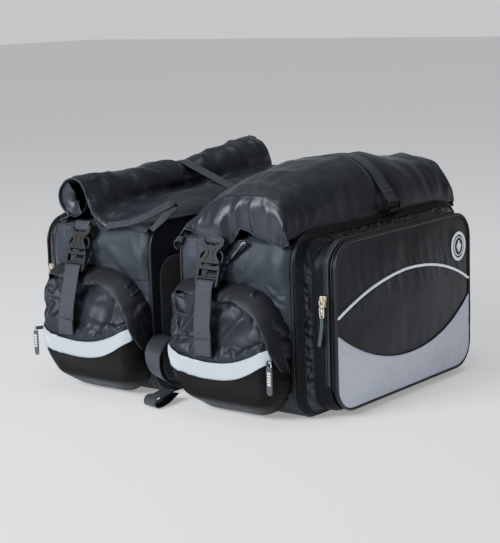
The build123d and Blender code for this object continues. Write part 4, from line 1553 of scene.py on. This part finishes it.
def add_roll(side):
    """Inside of the rolled collar's open front end, and the edge of its last turn."""
    seed = SEED[side]
    bag = f"{side}_bag"
    front = -HOOD_FRONT + 3
    loops = []
    for depth, radius, turn in ROLL_TURNS:
        loop = []
        for a in frange(0, 2 * math.pi, 2 * math.pi / ROLL_FACETS)[:-1]:
            wavy = ripple(math.cos(a) * 1.4, math.sin(a) * 1.4, seed + depth * 0.02)
            reach = ROLL_RADIUS * radius * (1 + 0.05 * wavy)
            pinch = 0.35 * turn * max(math.cos(a - 2.2), 0)
            loop.append((ROLL_MOUTH[0] + reach * (1 - pinch) * math.cos(a), front + depth,
                         ROLL_MOUTH[1] + reach * (1 - pinch) * math.sin(a)))
        loops.append(loop)
    shape = loft(loops, caps=False)
    end = tuple(range(len(shape[0]) - ROLL_FACETS, len(shape[0])))
    mouth = make_piece(f"{side}_roll_mouth", shell_of((shape[0], shape[1] + [end]), 1.2), "roll", side, bag,
                       subdivide=1)
    loops = []
    for share in (1.0, 0.9, 0.75, 0.6, 0.45, 0.32, 0.24):
        loop = []
        for angle in frange(-62, 118, 6):
            a = math.radians(angle)
            reach = ROLL_RADIUS * share * (1 - 0.12 * (1 - share) * math.cos(3 * a))
            crease = 2.6 * (ridge(a * 0.8, share * 2, seed, 2) - 0.5)
            inward = 2.5 + 8 * (1 - share) ** 1.2 + 5 * max(0.36 - share, 0) / 0.12 + crease
            loop.append((ROLL_MOUTH[0] + reach * math.cos(a), front + inward,
                         ROLL_MOUTH[1] - reach * math.sin(a)))
        loops.append(loop)
    tucked = shell_of(loft(loops, closed=False, caps=False), 1.4)
    return [mouth, make_piece(f"{side}_roll_tuck", tucked, "roll", side, bag, subdivide=1)]


def hull_over(points):
    """Tight line over the top of a cross-section."""
    ordered = sorted(points)
    upper = []
    for point in ordered:
        while len(upper) > 1:
            (ax, az), (bx, bz) = upper[-2], upper[-1]
            if (bx - ax) * (point[1] - az) - (bz - az) * (point[0] - ax) < 0:
                break
            upper.pop()
        upper.append(point)
    return upper


def add_top_straps(side, rows):
    """Strap over the roll, the ring on the outer seam with its tab, and the strap on the inner corner."""
    bag = f"{side}_bag"
    y = TOP_STRAP_Y
    under_strap = [(p.x, p.z) for row in rows for p in row if abs(p.y - y - 4) < 11 and p.z > 262]
    hull = hull_over([(33, 263), (234.5, 277)] + under_strap)
    centre = (130, 290)
    over = []
    for x, z in hull:
        away = Vector((x - centre[0], z - centre[1])).normalized() * 2.0
        over.append(Vector((x + away.x, y + 10 * (1 - x / 234.5), z + away.y)))
    path = resample(curve(resample(over, 16), 6), 4)
    tuck = [Vector((234.5, y, 277)), Vector((233, y, 270)), Vector((229.5, y, 275)), Vector((226, y, 292)),
            Vector((224, y, 296))]
    under = resample(curve(tuck, 8), 4)
    strap = merge(sweep(path, strap_section(TOP_WEBBING, 1.5), (0, 1, 0)),
                  sweep(under, strap_section(TOP_WEBBING, 1.3), (0, 1, 0)))
    make_piece(f"{side}_over_strap", strap, "webbing", side, bag, [f"{side}_top_strap"])
    tab = curve([Vector(p) for p in ((229.6, y, 252), (232.5, y, 262), (236, y, 266.5), (233.5, y, 269),
                                     (231, y, 262), (229, y, 254))], 6)
    tab = sweep(tab, strap_section(TOP_WEBBING, 1.3), (0, 1, 0))
    make_piece(f"{side}_ring_tab", tab, "webbing", side, bag)
    ring = [Vector((232.8 + (3.5 if a[1] > 0 else 0), y + a[0] * 16, 272 + a[1] * 7.5)) for a in
            ((-1, -0.7), (-0.85, -1), (0.85, -1), (1, -0.7), (1, 0.7), (0.85, 1), (-0.85, 1), (-1, 0.7))]
    ring = tube(resample(ring, 2, closed=True), 1.7, (1, 0, 0), closed=True)
    make_piece(f"{side}_seam_ring", ring, "plastic", side, bag, [f"{side}_strap_ring"])
    if side == "right":
        loop = [(38, -214, 243), (31, -218, 245), (26, -218, 241), (25, -215, 235), (28, -212, 230)]
    else:
        loop = [(108, -219, 254), (82, -220, 258), (58, -217, 263), (42, -203, 270), (31, -182, 279),
                (24, -168, 285), (20, -166, 281), (21, -180, 272), (24, -196, 261), (29, -208, 251)]
    path = resample(curve([Vector(p) for p in loop], 8), 3)
    facing = [Vector((0.15, 0.75, 0.65)) for _ in path]
    width = 10 if side == "right" else 13
    make_piece(f"{side}_corner_strap", sweep(path, strap_section(width, 1.6), facing), "webbing", side, bag)


# Straps between the bags

def add_yoke():
    for half, body, node in ((1, "yoke_right", "yoke_right_straps"), (-1, "yoke_left", "yoke_left_straps")):
        low, high = box_mm(node)
        z = (low[2] + high[2]) / 2
        for y in (-90.0, 90.0):
            name = f"{body}_{'front' if y < 0 else 'rear'}"
            inner = -24.0
            path = [(BODY_LOW[0] + 2, y, z), (24, y, z + 0.2), (12, y, z), (0, y, z - 0.1), (-12, y, z),
                    (inner, y, z)]
            path = [Vector((half * a, b, c)) for a, b, c in path]
            shape = sweep(resample(path, 2), strap_section(YOKE_WEBBING, 2.4, 12), (0, 1, 0))
            strap = make_yoke_piece(name, shape, node)
            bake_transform(strap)


def make_yoke_piece(name, shape, node):
    mesh = bpy.data.meshes.new(name)
    mesh.from_pydata([tuple(c * MM for c in v) for v in shape[0]], [], shape[1])
    mesh.shade_smooth()
    mesh.materials.append(MATERIALS["webbing"])
    obj = bpy.data.objects.new(name, mesh)
    bpy.context.scene.collection.objects.link(obj)
    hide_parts(node)
    return obj


def add_lower_strap():
    """Stabiliser strap bulging from the gap, and its folded loop lying on the floor."""
    run = [(-24, -196, 92), (-14, -220, 88), (-6, -240, 78), (-2, -246, 62), (2, -240, 44), (10, -222, 30),
           (17, -196, 22)]
    path = resample(curve([Vector((-x, y, z)) for x, y, z in run], 8), 3)
    shape = sweep(path, strap_section(LOWER_WEBBING, 1.6, 8), (1, 0, 0.35))
    make_piece("lower_strap", shape, "webbing", "left", "left_bag", ["left_lower_strap"])
    fold = [(2, -206, 10), (0, -226, 3.5), (-3, -246, 1.5), (-6, -262, 4), (-7, -267, 11), (-5, -258, 17),
            (-2, -238, 15), (2, -214, 17)]
    path = resample(curve([Vector(p) for p in fold], 8), 3)
    shape = sweep(path, strap_section(LOWER_WEBBING, 1.6, 8), (1, 0.15, 0))
    make_piece("lower_strap_loop", shape, "webbing", "left", "left_bag")


def build():
    for side in SIDES:
        add_body(side)
        add_gusset(side)
        add_zip(side)
        add_panel(side)
        add_slider(side)
        for end in ENDS:
            add_end_pocket(side, end)
            add_buckle(side, end)
        add_roll_top(side)
    add_yoke()
    add_lower_strap()


add_camera()
add_stage()
build()
